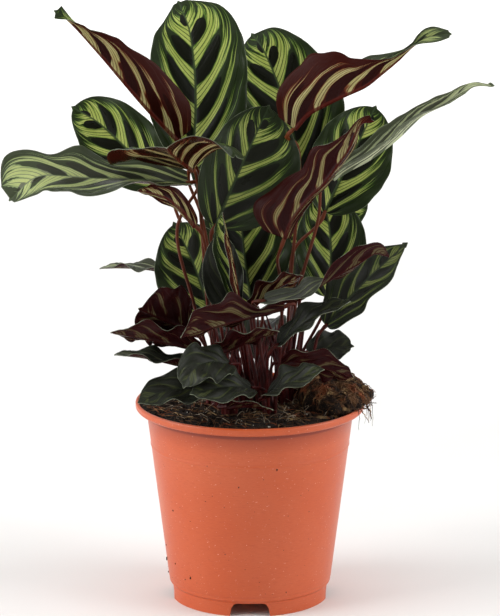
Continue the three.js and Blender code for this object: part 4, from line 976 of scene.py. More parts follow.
def make_specks(settings):
    """Specks of peat stuck to the pot's wall, most of them low on its left."""
    rng = np.random.default_rng(SEED + 3)
    clods = []
    for _ in range(settings.clods):
        turn = rng.normal(-0.7, 0.8)
        z = FOOT_HEIGHT + 4 + 105 * rng.random() ** 2
        size = 0.2 + 0.9 * rng.random() ** 5
        clods.append((body(z) * math.sin(turn), -body(z) * math.cos(turn), z, size))
    specks = lumps_mesh("peat_specks", rng, clods, [peat_material(bpy.context.scene.plant_soil)])
    settle(specks, "peat")


# Shade painted under the collar, where its shadow falls: the heights where each part starts and is full, and
# how strong it is.
COLLAR_SHADE = {
    "soft_shade": (COLLAR_BASE - 16, COLLAR_BASE, 0.6),
    "line": (COLLAR_BASE - 5.2, COLLAR_BASE - 3, 0.85),
    "below": (COLLAR_BASE + 0.8, COLLAR_BASE + 0.2, 1),
}


def pot_material(settings):
    """Injection-moulded polypropylene: satin, faintly mottled and scuffed, with shade painted under its
    collar.
    """
    around = (1, 1, 14)
    material = layered_material(
        "Polypropylene_injection_moulded", settings.shell_colour, (
            ("#c65c33", 60, 0.35, 0.7, PLAIN),
            ("#b84a24", 4, 0.5, 0.75, around),
            ("#e6b29c", 1.7, 0.7, 0.735, (1, 1, 2)),
            ("#4a2115", 2.2, 0.735, 0.755, PLAIN),
        ), 0.36, ((0.6, 0.008, PLAIN), (9, 0.05, around)), ior=1.49,
    )
    tree = material.node_tree
    skin = tree.nodes["Principled BSDF"].inputs["Base Color"]
    where = add(tree, "ShaderNodeTexCoord").outputs["Object"]
    height = add(tree, "ShaderNodeSeparateXYZ", {0: where}).outputs[2]
    # Painted shade: a soft band and a darker line under the collar, stopping at the collar's foot.
    parts = {}
    for label, (start, full, most) in COLLAR_SHADE.items():
        spread = add(tree, "ShaderNodeMapRange", {0: height, 1: start * MM, 2: full * MM, 4: most})
        parts[label] = spread.outputs[0]
    darker = add(tree, "ShaderNodeMath", {0: parts["soft_shade"], 1: parts["line"]}, operation="MAXIMUM").outputs[0]
    painted_shade = add(tree, "ShaderNodeMath", {0: darker, 1: parts["below"]}, operation="MULTIPLY").outputs[0]
    # The painted shade mixes in this dark red-brown.
    unshaded = skin.links[0].from_socket
    mix = add(tree, "ShaderNodeMix", {0: painted_shade, 6: unshaded, 7: (*linear("#7a2410"), 1)}, data_type="RGBA")
    tree.links.new(mix.outputs[2], skin)
    return material


# ------------------------------------------------------------------ soil and roots

def soil_height(x, y):
    """Height of the lumpy surface, which is level under the clump of roots."""
    lumps = np.sin(x * 0.21 + y * 0.08) * np.cos(y * 0.19 - x * 0.05)
    reach = np.hypot((x - CLUMP["x"]) / CLUMP["radius_x"], (y - CLUMP["y"]) / CLUMP["radius_y"])
    inside = smooth(0, 0.5, 1 - np.hypot(x, y) / RIM_RADIUS)
    return SOIL_LEVEL + smooth(1.4, 1.9, reach) * inside * (SOIL_DOME["rise"] + SOIL_DOME["lumps"] * lumps)


def clump_underside(x, y):
    """Height of the heap's underside, which rises over the collar."""
    over_rim = smooth(NECK_RADIUS - CLUMP["overhang"], NECK_RADIUS, np.hypot(x, y))
    return SOIL_LEVEL + (POT_HEIGHT - SOIL_LEVEL) * over_rim + 0.35


def clump_top(x, y, reach):
    """Height of the heap at a place and its share of the way out from the heap's middle."""
    slope = 1 - CLUMP["lean"] * (x - CLUMP["x"]) / CLUMP["radius_x"]
    heap = CLUMP["height"] * np.maximum(1 - reach ** 2, 0) ** 0.6 * slope
    lumps = 1.6 * np.sin(x * 0.31 + 1) * np.cos(y * 0.27)
    return clump_underside(x, y) + CLUMP["edge"] + heap + (1 - reach) * lumps


def make_soil(settings):
    """The ball of peat that fills the pot, and in turn all that lies loose on it."""
    make_peat_ball(settings)
    rng = np.random.default_rng(SEED)
    crumbs = scattered(rng, settings.crumbs, *CRUMB_SIZES)
    settle(lumps_mesh("peat_crumbs", rng, crumbs, [peat_material(settings)]), "peat")
    perlite = scattered(rng, PERLITE_GRAINS, *PERLITE_SIZES)
    settle(lumps_mesh("perlite_grains", rng, perlite, [perlite_material()]), "peat")
    make_peat_fibres(rng, settings)
    make_rootlets(rng, settings)


def make_peat_ball(settings):
    """The ball of peat, with a crumbly top and walls that stand clear of the pot."""
    rings, sectors = SOIL_GRID.values()
    angle = 2 * np.pi * np.arange(sectors) / sectors
    reach = np.linspace(0.012, 1, rings) * SOIL_RADIUS
    x = (reach[::-1, None] * np.cos(angle)).ravel()
    y = (reach[::-1, None] * np.sin(angle)).ravel()
    z = soil_height(x, y)
    level = np.stack([x, y, np.zeros_like(x)], axis=-1)
    edge = smooth(SOIL_RADIUS, SOIL_RADIUS - 4, np.hypot(x, y))
    crumble = sum(depth * wander(level, size, number) for depth, size, number in PEAT_RELIEF)
    z += edge * settings.crumb * crumble
    top = np.stack([x, y, z], axis=-1)
    below = [[[r * math.cos(a), r * math.sin(a), h] for a in angle] for r, h in PEAT_WALLS]
    ends = [[0, 0, PEAT_WALLS[0][1]], [0, 0, z[-1]]]
    points = np.vstack([np.array(below).reshape(-1, 3), top, ends])
    faces = lathe_faces(len(PEAT_WALLS) + rings, sectors)
    settle(mesh_object("peat_ball", points, faces, [peat_material(settings)]), "peat", "soil")


def make_peat_fibres(rng, settings):
    """Single dead roots, each bent a little, that lie on the peat."""
    strands = []
    t = np.linspace(-0.5, 0.5, FIBRE_STEPS)
    for _ in range(settings.fibres):
        x, y = disc_point(rng, SOIL_RADIUS - 5)
        heading = rng.uniform(0, 2 * np.pi)
        length = rng.uniform(6, 26)
        bend = rng.uniform(-0.5, 0.5)
        px = x + length * t * np.cos(heading + bend * t)
        py = y + length * t * np.sin(heading + bend * t)
        px, py = kept_in(px, py)
        pz = soil_height(px, py) + 1.1 * settings.crumb + rng.uniform(0, 1.5) * np.cos(np.pi * t)
        strands.append(np.stack([px, py, pz], axis=-1))
    radii = np.outer(rng.uniform(0.12, 0.4, len(strands)), np.ones(FIBRE_STEPS))
    points, faces = tubes(np.array(strands), radii, STRAND_SIDES)
    litter = mesh_object("peat_fibres", points, faces, [fibre_material(settings.fibre_colour)])
    settle(litter, "root_fibre")


def make_rootlets(rng, settings):
    """Fine living roots that wind out of the peat and back into it."""
    rootlets = []
    t = np.linspace(0, 1, ROOTLET_STEPS)
    for _ in range(settings.rootlets):
        x, y = disc_point(rng, SOIL_RADIUS - 9)
        swing = rng.uniform(0, 2 * np.pi) + rng.normal(0, 1.6) * t
        step = rng.uniform(5, 15) / (len(t) - 1)
        px, py = kept_in(*walk(x, y, swing, step))
        pz = soil_height(px, py) + settings.crumb + rng.uniform(1, 7) * np.sin(np.pi * (0.1 + 0.7 * t))
        rootlets.append(np.stack([px, py, pz], axis=-1))
    radii = np.outer(rng.uniform(0.1, 0.3, len(rootlets)), 1 - 0.6 * t)
    points, faces = tubes(np.array(rootlets), radii, STRAND_SIDES)
    settle(mesh_object("peat_rootlets", points, faces, [rootlet_material()]), "root_fibre")


def walk(x, y, headings, step):
    """The places of a strand that starts at x and y and takes one step along each heading."""
    px = x + np.concatenate([[0], np.cumsum(np.cos(headings[:-1]))]) * step
    py = y + np.concatenate([[0], np.cumsum(np.sin(headings[:-1]))]) * step
    return px, py


def kept_in(x, y):
    """The places of a strand, drawn inwards where they would pass the edge of the soil."""
    keep = np.minimum(1, (SOIL_RADIUS - 2) / np.maximum(np.hypot(x, y), 1e-6))
    return x * keep, y * keep


def disc_point(rng, radius):
    """A random place within a radius of the pot's axis."""
    reach = radius * math.sqrt(rng.random())
    angle = rng.uniform(0, 2 * math.pi)
    return reach * math.cos(angle), reach * math.sin(angle)


def scattered(rng, count, smallest, largest):
    """Places and sizes of crumbs lying on the soil."""
    placed = []
    for _ in range(count):
        x, y = disc_point(rng, SOIL_RADIUS - 3)
        size = smallest + (largest - smallest) * rng.random() ** 3
        placed.append((x, y, float(soil_height(np.array(x), np.array(y))) + size * 0.4, size))
    return placed


def lumps_mesh(name, rng, places, materials):
    """One mesh of small irregular lumps at places of (x, y, z, radius) in mm."""
    rows, sides = LUMP_GRID.values()
    angle = 2 * np.pi * np.arange(sides) / sides
    height = np.cos(np.pi * (np.arange(rows) + 0.5) / rows)
    ring = np.sqrt(1 - height ** 2)
    shape = np.stack([
        np.outer(ring, np.cos(angle)), np.outer(ring, np.sin(angle)), np.outer(height, np.ones(sides)),
    ], axis=-1).reshape(-1, 3)
    points, walls, caps = [], [], []
    for x, y, z, size in places:
        first = len(points) * len(shape)
        form = shape * rng.uniform(0.6, 1.25, (len(shape), 1)) * rng.uniform(0.6, 1.2, 3) * size
        points.append(form + (x, y, z))
        walls.append(grid_faces(rows, sides, closed=True)[:, ::-1] + first)
        caps.append(np.arange(sides) + first)
        caps.append(np.arange(sides)[::-1] + first + (rows - 1) * sides)
    faces = [np.concatenate(walls), np.array(caps)]
    return mesh_object(name, np.concatenate(points), faces, materials)


def make_root_clump(settings):
    """The heap of old roots: its core, and the strands matted over it."""
    make_heap(settings)
    make_strands(settings)


def make_heap(settings):
    """The heap's core: a closed lump, ragged in outline and rough on top."""
    rings, sectors = HEAP_GRID.values()
    angle = 2 * np.pi * np.arange(sectors) / sectors
    outline = 1 + 0.09 * np.sin(3 * angle + 1) + 0.06 * np.sin(7 * angle)
    reach = np.linspace(0.015, 1, rings) ** 0.9
    ragged = reach[:, None] * outline
    x = CLUMP["x"] + ragged * CLUMP["radius_x"] * np.cos(angle)
    y = CLUMP["y"] + ragged * CLUMP["radius_y"] * np.sin(angle)
    inward = np.broadcast_to(reach[:, None], x.shape)
    upper = clump_top(x, y, inward)
    lower = clump_underside(x, y)
    places = np.stack([x, y, upper], axis=-1).reshape(-1, 3)
    rough = sum(depth * wander(places, size, number) for depth, size, number in HEAP_RELIEF)
    lift = (rough.reshape(x.shape) - 1.2) * np.sqrt(np.maximum(1 - inward, 0)) * 1.2
    upper = np.maximum(upper + lift, lower + 0.6)
    top = np.stack([x, y, upper], axis=-1)[::-1]
    bottom = np.stack([x, y, lower], axis=-1)
    ends = [bottom[0].mean(axis=0), top[-1].mean(axis=0)]
    points = np.vstack([bottom.reshape(-1, 3), top.reshape(-1, 3), ends])
    core = mesh_object("root_heap", points, lathe_faces(2 * rings, sectors), [root_material(settings)])
    settle(core, "root_fibre", "root_clump")


def make_strands(settings):
    """Old roots matted over the heap, the first few of them hanging over the rim."""
    rng = np.random.default_rng(SEED + 1)
    strands, radii = [], []
    t = np.linspace(0, 1, STRAND_STEPS)
    for i in range(settings.strands):
        strands.append(strand_path(rng, t, i < settings.hanging))
        thick = 0.22 + 0.55 * rng.random() ** 3
        radii.append(thick * (1 - 0.6 * t))
    paths = np.array(strands)
    paths += rng.normal(0, 0.25, paths.shape)
    points, faces = tubes(paths, np.array(radii), STRAND_SIDES)
    mat = mesh_object("root_strands", points, faces, [fibre_material(settings.fibre_colour)])
    settle(mat, "root_fibre")


def strand_path(rng, t, hangs):
    """One old root, which winds over the heap or hangs over the rim."""
    reach = math.sqrt(rng.random()) * 1.02
    turn = rng.uniform(0, 2 * math.pi)
    if hangs:
        reach, turn = rng.uniform(0.85, 1.05), rng.uniform(-1.1, 0.9)
    x = CLUMP["x"] + reach * CLUMP["radius_x"] * math.cos(turn)
    y = CLUMP["y"] + reach * CLUMP["radius_y"] * math.sin(turn)
    heading = rng.uniform(0, 2 * math.pi)
    length = rng.uniform(8, 34)
    bend = rng.normal(0, 1.6)
    if hangs:
        heading, length, bend = turn + rng.normal(0, 0.6), rng.uniform(4, 14), rng.normal(0, 1.2)
    x, y = walk(x, y, heading + bend * t, length / (len(t) - 1))

    place = np.hypot((x - CLUMP["x"]) / CLUMP["radius_x"], (y - CLUMP["y"]) / CLUMP["radius_y"])
    inward = np.where(place > 1, (1 + 0.25 * (place - 1)) / place, 1)
    x, y = CLUMP["x"] + (x - CLUMP["x"]) * inward, CLUMP["y"] + (y - CLUMP["y"]) * inward
    place = place * inward
    heap = clump_top(x, y, np.minimum(place, 1)) - CLUMP["edge"] * smooth(0.9, 1.05, place)
    drop = 5.5 * np.maximum(place - 1, 0) ** 1.5
    lift = rng.uniform(0.1, 2.2) + rng.uniform(0, 4) * np.sin(np.pi * t) * (rng.random() < 0.3)
    if hangs:
        beyond = np.maximum(np.hypot(x, y) - RIM_RADIUS, 0)
        drop = rng.uniform(0.8, 2.2) * beyond + rng.uniform(0, 16) * t ** 2 * (beyond > 0)
        squeeze = RIM_RADIUS + np.minimum(beyond, 4.5) + 0.3 * beyond
        pull = np.where(beyond > 0, squeeze / np.hypot(x, y), 1)
        x, y = x * pull, y * pull
    base = np.maximum(soil_height(x, y), np.where(np.hypot(x, y) > NECK_RADIUS, POT_HEIGHT, 0))
    z = np.where(place < 1, heap, base) + lift - drop * (np.hypot(x, y) > RIM_RADIUS)
    return np.stack([x, y, z], axis=-1)


def peat_material(settings):
    """Moist sphagnum peat, milled: nearly black, matt, with paler dry crumbs and rusty fibre."""
    return layered_material("Peat_milled_moist", settings.peat_colour, (
        ("#33251b", 5, 0.45, 0.65, PLAIN),
        ("#0f0a08", 2.4, 0.48, 0.60, PLAIN),
        ("#5a3e2b", 1.1, 0.60, 0.68, PLAIN),
        ("#9a8468", 0.7, 0.70, 0.74, PLAIN),
    ), 0.93, ((1.4, 0.8, PLAIN), (0.5, 0.35, PLAIN)), gloss=0.25)


def perlite_material():
    """Expanded perlite: soft white glass foam, dusty and matt."""
    return layered_material("Perlite_expanded", linear("#d9d2c4"), (
        ("#8b8070", 0.8, 0.5, 0.65, PLAIN),
    ), 0.9, ((0.4, 0.2, PLAIN),), gloss=0.3)


def root_material(settings):
    """Matted old roots and coir: dry, brown, with dark gaps between the strands."""
    return layered_material("Roots_matted_dry", settings.heap_colour, (
        ("#5c3a22", 5, 0.52, 0.66, (1, 2.5, 1)),
        ("#0e0906", 2.6, 0.44, 0.54, (2.5, 1, 1)),
        ("#8c6a48", 0.9, 0.64, 0.70, PLAIN),
    ), 0.95, ((1.6, 1.2, (3, 1, 1)), (0.6, 0.5, PLAIN)), gloss=0.2)


def fibre_material(colour):
    """Dead root and coir strands: woody, straw to rust brown, dull."""
    return layered_material("Fibre_dead_root", colour, (
        ("#241409", 7, 0.46, 0.58, PLAIN),
        ("#a98a60", 9, 0.56, 0.66, PLAIN),
        ("#7a4223", 12, 0.56, 0.66, PLAIN),
    ), 0.85, ((0.5, 0.15, PLAIN),), gloss=0.3)


def rootlet_material():
    """Fine living roots: pale, a little glassy, dusted with peat."""
    return layered_material("Rootlet_living_pale", linear("#9c8b74"), (
        ("#4a392b", 4, 0.48, 0.6, PLAIN),
        ("#cbbfa9", 3, 0.58, 0.66, PLAIN),
    ), 0.6, ((0.4, 0.05, PLAIN),), gloss=0.4)


# ------------------------------------------------------------------ stalks

def make_stalks(settings):
    """One piece for each shoot: its leaves' stalks, its bare old sheaths and its crown."""
    material = stalk_material(settings)
    u = np.linspace(0, 1, STALK_STEPS)
    rng = np.random.default_rng(SEED + 2)
    for shoot, (x, y) in SHOOTS.items():
        leaves = [leaf for leaf in LEAVES.values() if leaf["shoot"] == shoot]
        parts = [leaf_stalk(leaf, x, y, u, settings) for leaf in leaves]
        parts += [old_sheath(rng, x, y, u) for _ in range(settings.sheaths)]
        parts.append(crown(x, y, u))
        paths, radii = zip(*parts)
        points, faces = tubes(np.array(paths), np.array(radii), STALK_SIDES)
        settle(mesh_object(shoot.replace("stems", "stalks"), points, faces, [material]), "stalk", shoot)


def leaf_stalk(leaf, x, y, u, settings):
    """A leaf's stalk, from its clasping base to the swollen joint under the blade."""
    base, forward, _ = even(leaf["rib"], [0, 1])
    base, forward = base[0], forward[0]
    way = [(x, y, SOIL_LEVEL - 6), (x, y, SOIL_LEVEL + 12), *leaf["stalk"]]
    way += [base - 9 * forward, base + 1.5 * forward]
    path, _, _ = even(way, u, power=0.5)
    sheath = settings.sheath_radius * smooth(0, 0.4, 0.45 - u)
    pulvinus = settings.joint_radius * smooth(0.90, 0.95, u) * (1 - 0.35 * smooth(0.975, 1, u))
    return path, np.maximum(np.maximum(settings.radius * (1.08 - 0.16 * u), sheath), pulvinus)


def old_sheath(rng, x, y, u):
    """A sheath that has lost its leaf: it leans out from the crown and thins to nothing."""
    turn, lean, height = rng.uniform(0, 2 * np.pi), rng.uniform(0.05, 0.32), rng.uniform(18, 75)
    out = np.array([np.cos(turn), np.sin(turn), 0])
    foot = np.array([x, y, SOIL_LEVEL - 6]) + rng.uniform(2, 7) * out
    rise = u[:, None] * height
    path = foot + rise * (out * lean * (0.4 + 0.6 * u[:, None]) + [0, 0, 1])
    return path, rng.uniform(1.3, 2.4) * (1 - u ** 2.5) + 0.15


def crown(x, y, u):
    """The shoot's thick foot, which stands in its hole in the soil."""
    path, _, _ = even([(x, y, SOIL_LEVEL + h) for h in CROWN_LINE], u)
    return path, np.interp(path[:, 2] - SOIL_LEVEL, CROWN_HEIGHTS, CROWN_RADII)


def stalk_material(settings):
    """A living petiole: wine red and satin, with fine long ribs, browner higher up."""
    material, tree, shader = new_material("Petiole_living_red")
    where = add(tree, "ShaderNodeTexCoord").outputs["Object"]
    height = add(tree, "ShaderNodeSeparateXYZ", {0: where}).outputs[2]
    along = add(tree, "ShaderNodeVectorMath", {0: where, 1: (1, 1, 0.12)}, operation="MULTIPLY").outputs[0]
    ribs = {"Vector": along, "Scale": 1 / (1.1 * MM), "Detail": 2}
    streak = add(tree, "ShaderNodeTexNoise", ribs).outputs[0]
    blotches = {"Vector": where, "Scale": 1 / (14 * MM), "Detail": 2}
    patch = add(tree, "ShaderNodeTexNoise", blotches).outputs[0]
    high = add(tree, "ShaderNodeMapRange", {0: height, 1: 190 * MM, 2: 320 * MM, 4: 0.75}).outputs[0]
    thin = add(tree, "ShaderNodeMapRange", {0: streak, 1: 0.42, 2: 0.66}).outputs[0]
    blotch = add(tree, "ShaderNodeMapRange", {0: patch, 1: 0.5, 2: 0.68, 4: 0.7}).outputs[0]
    colour = (*settings.low_colour, 1)
    for tint, factor in (
        (linear("#1c0a08"), blotch), (linear("#571c18"), thin), (settings.high_colour, high),
    ):
        inputs = {0: factor, 6: colour, 7: (*tint, 1)}
        colour = add(tree, "ShaderNodeMix", inputs, data_type="RGBA").outputs[2]
    tree.links.new(colour, shader.inputs["Base Color"])
    bump = add(tree, "ShaderNodeBump", {"Strength": 0.7, "Distance": 0.12 * MM, "Height": streak})
    tree.links.new(bump.outputs[0], shader.inputs["Normal"])
    shader.inputs["Roughness"].default_value = 0.42
    shader.inputs["IOR"].default_value = 1.45
    shader.inputs["Specular IOR Level"].default_value = 0.22
    return material


# ------------------------------------------------------------------ leaves

def profile_width(leaf, side, u):
    """The width of one half of a blade along its midrib."""
    half = leaf["halves"][side]
    widest = leaf.get("widest", BLADE["widest"])
    skew = math.log(0.5) / math.log(widest)
    roundness = np.where(u < widest, BLADE["base_roundness"], leaf.get("point", BLADE["tip_roundness"]))
    ends = (BLADE["stalk_width"] + (BLADE["tip_width"] - BLADE["stalk_width"]) * u) / 2
    swell = np.maximum(np.sin(np.pi * np.clip(u, 0, 1) ** skew), 0) ** roundness
    if "outline" in leaf:
        swell = spline([[i, value, 0] for i, value in enumerate(leaf["outline"][side])], u)[:, 1]
    return ends + (half - ends) * swell


def vein_starts(u, t, slimness):
    """Where on the midrib the side vein through (u, t) starts.

    Side veins leave the midrib at about 45 degrees and sweep forward to the margin; near the
    tip they run along the midrib. slimness is a half's width over the blade's length.
    """
    low, high = u - 1.0, u.copy()
    for _ in range(26):
        middle = (low + high) / 2
        turn = np.minimum(VEIN_TURN[0] + VEIN_TURN[1] * middle, VEIN_TURN[2])
        sweep = np.where(middle < 0, VEIN_TURN[0] + 0.3 * middle, (1 - middle) * turn)
        swell = 2 * np.sqrt(np.clip(middle * (1 - middle), 0.01, 1))
        steep = np.clip(slimness * swell / np.maximum(sweep, 1e-4), 0.4, 1.9)
        over = middle + sweep * (steep * t + (1 - steep) * t ** 2) > u
        high = np.where(over, middle, high)
        low = np.where(over, low, middle)
    return (low + high) / 2


def half_widths(leaf, seed, u, past, length, drip_tip):
    """The width of both halves of a blade at each row, down to the point of its drip tip."""
    point = (0.2 + 0.8 * (length + drip_tip - past)) * smooth(length - 3, length - 0.4, past)
    widths = []
    for side in (0, 1):
        full = profile_width(leaf, side, u)
        row = seed * NOISE_STEPS["outline"] + side * NOISE_STEPS["half"]
        places = [Vector((p / RELIEF["wobble"], row, 0.5)) for p in past]
        wobble = np.array([noise.noise(place) for place in places])
        full *= 1 + WOBBLE * wobble * np.sin(np.pi * u)
        widths.append(np.maximum(np.where(past > length, 0, full), point))
    return np.stack(widths, axis=-1)


def curled(leaf, u, side, reach):
    """How far from the midrib and above it a blade's places lie, once folded and curled."""
    fold = np.radians(np.interp(u, np.linspace(0, 1, len(leaf["fold"])), leaf["fold"]))[:, None]
    bends = [
        np.radians(np.interp(u, np.linspace(0, 1, len(curl)), curl)) / half
        for curl, half in zip(leaf["curl"], leaf["halves"])
    ]
    bend = np.stack(bends, axis=-1)[:, side]
    bend = np.where(np.abs(bend) < 1e-5, 1e-5, bend)
    across = (np.sin(fold + bend * reach) - np.sin(fold)) / bend
    return across, (np.cos(fold) - np.cos(fold + bend * reach)) / bend


def blade_faces(rows, columns):
    """Faces of a blade's upper side, of its underside and of the rim that joins them."""
    lower = rows * columns
    upper_faces = grid_faces(rows, columns)
    at = np.arange(lower).reshape(rows, columns)
    rim = np.concatenate([at[0, :-1], at[:-1, -1], at[-1, :0:-1], at[:0:-1, 0]])
    after = np.roll(rim, -1)
    rim_faces = np.stack([rim, rim + lower, after + lower, after], axis=-1)
    return upper_faces, upper_faces[:, ::-1] + lower, rim_faces


def make_blade(name, leaf, number, settings, materials):
    """A thin living blade: folded, curled and ruffled, with a midrib and soft waves between veins."""
    small = sum(leaf["halves"]) < SMALL_BLADE
    rows, cells = (SMALL_GRID if small else LARGE_GRID).values()
    seed = number + 1
    run = np.linspace(0, 1, rows)
    u = ROW_CROWDING[0] * run + ROW_CROWDING[1] * (1 - np.cos(np.pi * run)) / 2
    rib, forward, length = even(leaf["rib"], u)
    up = spline(leaf["face"], u)
    up = unit(up - forward * (up * forward).sum(-1, keepdims=True))
    right = np.cross(forward, up)

    beyond = np.array(TIP_ROWS) * settings.drip_tip
    rib = np.vstack([rib, rib[-1] + forward[-1] * beyond[:, None] - up[-1] * (beyond[:, None] / 4) ** 2])
    forward, up, right = (
        np.vstack([v, np.repeat(v[-1:], len(beyond), axis=0)]) for v in (forward, up, right)
    )
    past = np.concatenate([u * length, length + beyond])
    u = np.concatenate([u, np.ones(len(beyond))])
    rows = len(u)

    t = np.arange(-cells, cells + 1) / cells
    t = np.sign(t) * np.abs(t) ** COLUMN_POWER
    side = (t >= 0).astype(int)
    width = half_widths(leaf, seed, u, past, length, settings.drip_tip)[:, side]
    reach = np.abs(t) * width
    across, rise = curled(leaf, u, side, reach)
    height, count, phase = leaf["wave"]
    ripple = height * t ** 2 * np.sin(2 * np.pi * (count * u[:, None] + phase + side / 2))
    rise += ripple * np.sin(np.pi * u)[:, None]

    outward = np.repeat(np.abs(t)[None], rows, axis=0)
    slimness = sum(leaf["halves"]) / 2 / length
    start = vein_starts(np.repeat(u[:, None], len(t), 1), outward, slimness)
    veins = (settings.lobes + length / LOBE_SPACING) * start
    own = np.full((rows, len(t)), seed * NOISE_STEPS["ruffle"])
    grid = np.stack([past[:, None] + 0 * t, reach * np.sign(t), own], axis=-1)
    crimp = wander(grid.reshape(-1, 3), RELIEF["ruffle"]).reshape(rows, -1)
    edge_soft = np.minimum(1, np.sin(np.pi * u) * 2)[:, None]
    rise += settings.ruffle * crimp * np.abs(t) ** 3 * edge_soft
    pleat = 2 * np.pi * (veins - PLEAT_PHASE + side / 2)
    pleat = np.cos(pleat) + np.cos(3 * pleat) / 9
    rise += settings.quilting * pleat * smooth(0, 0.3, np.abs(t)) * edge_soft
    groove = RELIEF["groove"] * np.exp(-((reach / RELIEF["groove_width"]) ** 2))
    rise -= groove * (1 - 0.7 * u[:, None])
    sheet = rib[:, None] + right[:, None] * (np.sign(t) * across)[..., None] + up[:, None] * rise[..., None]

    normal = unit(np.cross(np.gradient(sheet, axis=1), np.gradient(sheet, axis=0)))
    thick = settings.thickness / 2 * (1 - 0.5 * np.abs(t) ** 3)
    ridge = RELIEF["ridge"] * np.exp(-((reach / RELIEF["ridge_width"]) ** 2))
    ridge = ridge * (1 - 0.75 * u[:, None])
    top = sheet + normal * thick[None, :, None]
    bottom = sheet - normal * (thick[None] + ridge)[..., None]
    points = np.concatenate([top.reshape(-1, 3), bottom.reshape(-1, 3)])
    sides = blade_faces(rows, len(t))
    faces = np.concatenate(sides)
    counts = [len(part) for part in sides]

    # Each corner of a face carries its place among the veins, its distances in mm from the midrib
    # and from the edge, where its vein leaves the midrib, and its share of the way out.
    corner = faces.ravel() % (rows * len(t))
    left_face = np.tile(np.arange(len(t) - 1) < cells, rows - 1)
    left_face = np.concatenate([left_face, left_face, np.zeros(counts[2], bool)])
    shift = np.where(np.repeat(left_face, 4), LEFT_PHASE + VEIN_PHASE, VEIN_PHASE)
    to_tip = (length + settings.drip_tip - past)[:, None]
    from_edge = np.minimum(width - reach, 0.8 * to_tip)
    to_margin = np.maximum(np.abs(t)[None], 1 - 0.8 * to_tip / max(leaf["halves"]))
    pairs = {
        "veins": (veins.ravel()[corner] + shift, outward.ravel()[corner]),
        "reach": (reach.ravel()[corner], from_edge.ravel()[corner]),
        "place": (start.ravel()[corner], to_margin.ravel()[corner]),
    }
    corners = {label: np.stack(pair, axis=-1) for label, pair in pairs.items()}
    # Each blade's darkening, partly by age and partly by painted shade, and its painted sheen on the upper
    # side and the underside.
    age_and_shade = DARKENING_BY_KIND[leaf["kind"]]
    age_and_shade = age_and_shade + (LOW_LEAF_DARKENING - age_and_shade) * LOW_LEAF_SHARE * (1 - smooth(*LOW_LEAF_HEIGHTS, rib[:, 2].mean()))
    age_and_shade, pale, painted_sheen_under = LOOKS.get(name, (age_and_shade, 0, 0))
    values = {
        "age_and_shade": np.full(len(faces), age_and_shade),
        "seed": np.full(len(faces), seed * NOISE_STEPS["markings"]),
        "pale": np.repeat([pale, painted_sheen_under, pale], counts),
    }
    underside = 0 if name in YOUNG else 1
    indices = np.repeat([0, underside, 2], counts)
    blade = mesh_object(name.replace("leaf", "blade"), points, [faces], materials, corners, values, indices)
    settle(blade, SLOTS[leaf["kind"]], name)


def make_leaves(settings):
    """Every leaf's blade, all of them in the same two skins and the same pale rim."""
    upper = {key: getattr(settings, "upper_" + key) for key in BLADE_LAYERS}
    under = {key: getattr(settings, "under_" + key) for key in BLADE_LAYERS}
    # The plant's own wax gives the upper side a soft shine; the underside's is weaker but sharper.
    materials = [
        blade_material("Leaf_upper_waxy", upper, UPPER_SHAPES, 0.3, 0.16, 0.55),
        blade_material("Leaf_under_smooth", under, UNDER_SHAPES, 0.24, 0.08, 0.3),
        rim_material(),
    ]
    for number, (name, leaf) in enumerate(LEAVES.items()):
        make_blade(name, leaf, number, settings, materials)


# ------------------------------------------------------------------ stage

def make_stage(settings):
    """A pale floor, four soft lamps, a white surround and the camera."""
    scene = bpy.context.scene
    corners = [[x * FLOOR_HALF, y * FLOOR_HALF, 0] for x, y in ((-1, -1), (1, -1), (1, 1), (-1, 1))]
    floor = mesh_object("floor", corners, [np.array([[0, 1, 2, 3]])], [floor_material(settings)])
    for name, place, target, width, power in (
        ("left_softbox", (-2.1, -0.6, 1.1), AIM, 1.6, settings.left_power),
        ("right_softbox", (2.1, -0.5, 1.0), AIM, 1.6, settings.right_power),
        ("top_softbox", (0, -0.3, 2.4), AIM, 1.6, settings.top_power),
        ("backdrop_lamp", (0, 5, 3), (0, 6, 0), 6, settings.backdrop_power),
    ):
        lamp = bpy.data.lights.new(name, "AREA")
        lamp.energy = power
        lamp.size = width
        holder = bpy.data.objects.new(name, lamp)
        holder.location = place
        heading = Vector(target) - Vector(place)
        holder.rotation_euler = heading.to_track_quat("-Z", "Y").to_euler()
        holder.visible_camera = False
        scene.collection.objects.link(holder)
    world = bpy.data.worlds.new("studio")
    world.use_nodes = True
    tree = world.node_tree
    tree.nodes.clear()
    heading = add(tree, "ShaderNodeTexCoord").outputs["Generated"]
    sideways = add(tree, "ShaderNodeSeparateXYZ", {0: heading}).outputs[0]
    aside = add(tree, "ShaderNodeMath", {0: sideways}, operation="ABSOLUTE").outputs[0]
    levels = {0: aside, 1: 0.2, 2: 0.85, 3: settings.surround_front, 4: settings.surround_side}
    level = add(tree, "ShaderNodeMapRange", levels, interpolation_type="SMOOTHSTEP").outputs[0]
    seen = add(tree, "ShaderNodeLightPath").outputs["Is Camera Ray"]
    strength = add(tree, "ShaderNodeMapRange", {0: seen, 3: level, 4: 1}).outputs[0]
    glow = add(tree, "ShaderNodeBackground", {"Color": (1, 1, 1, 1), "Strength": strength})
    add(tree, "ShaderNodeOutputWorld", {"Surface": glow.outputs[0]})
    scene.world = world
    view = bpy.data.cameras.new("camera")
    view.lens = settings.lens
    view.sensor_width = 36
    view.clip_end = 60
    camera = bpy.data.objects.new("camera", view)
    camera.location = (0, -settings.distance, settings.height)
    camera.rotation_euler = (math.pi / 2 - settings.pitch, 0, 0)
    scene.collection.objects.link(camera)
    scene.camera = camera
    scene.view_settings.view_transform = "Standard"


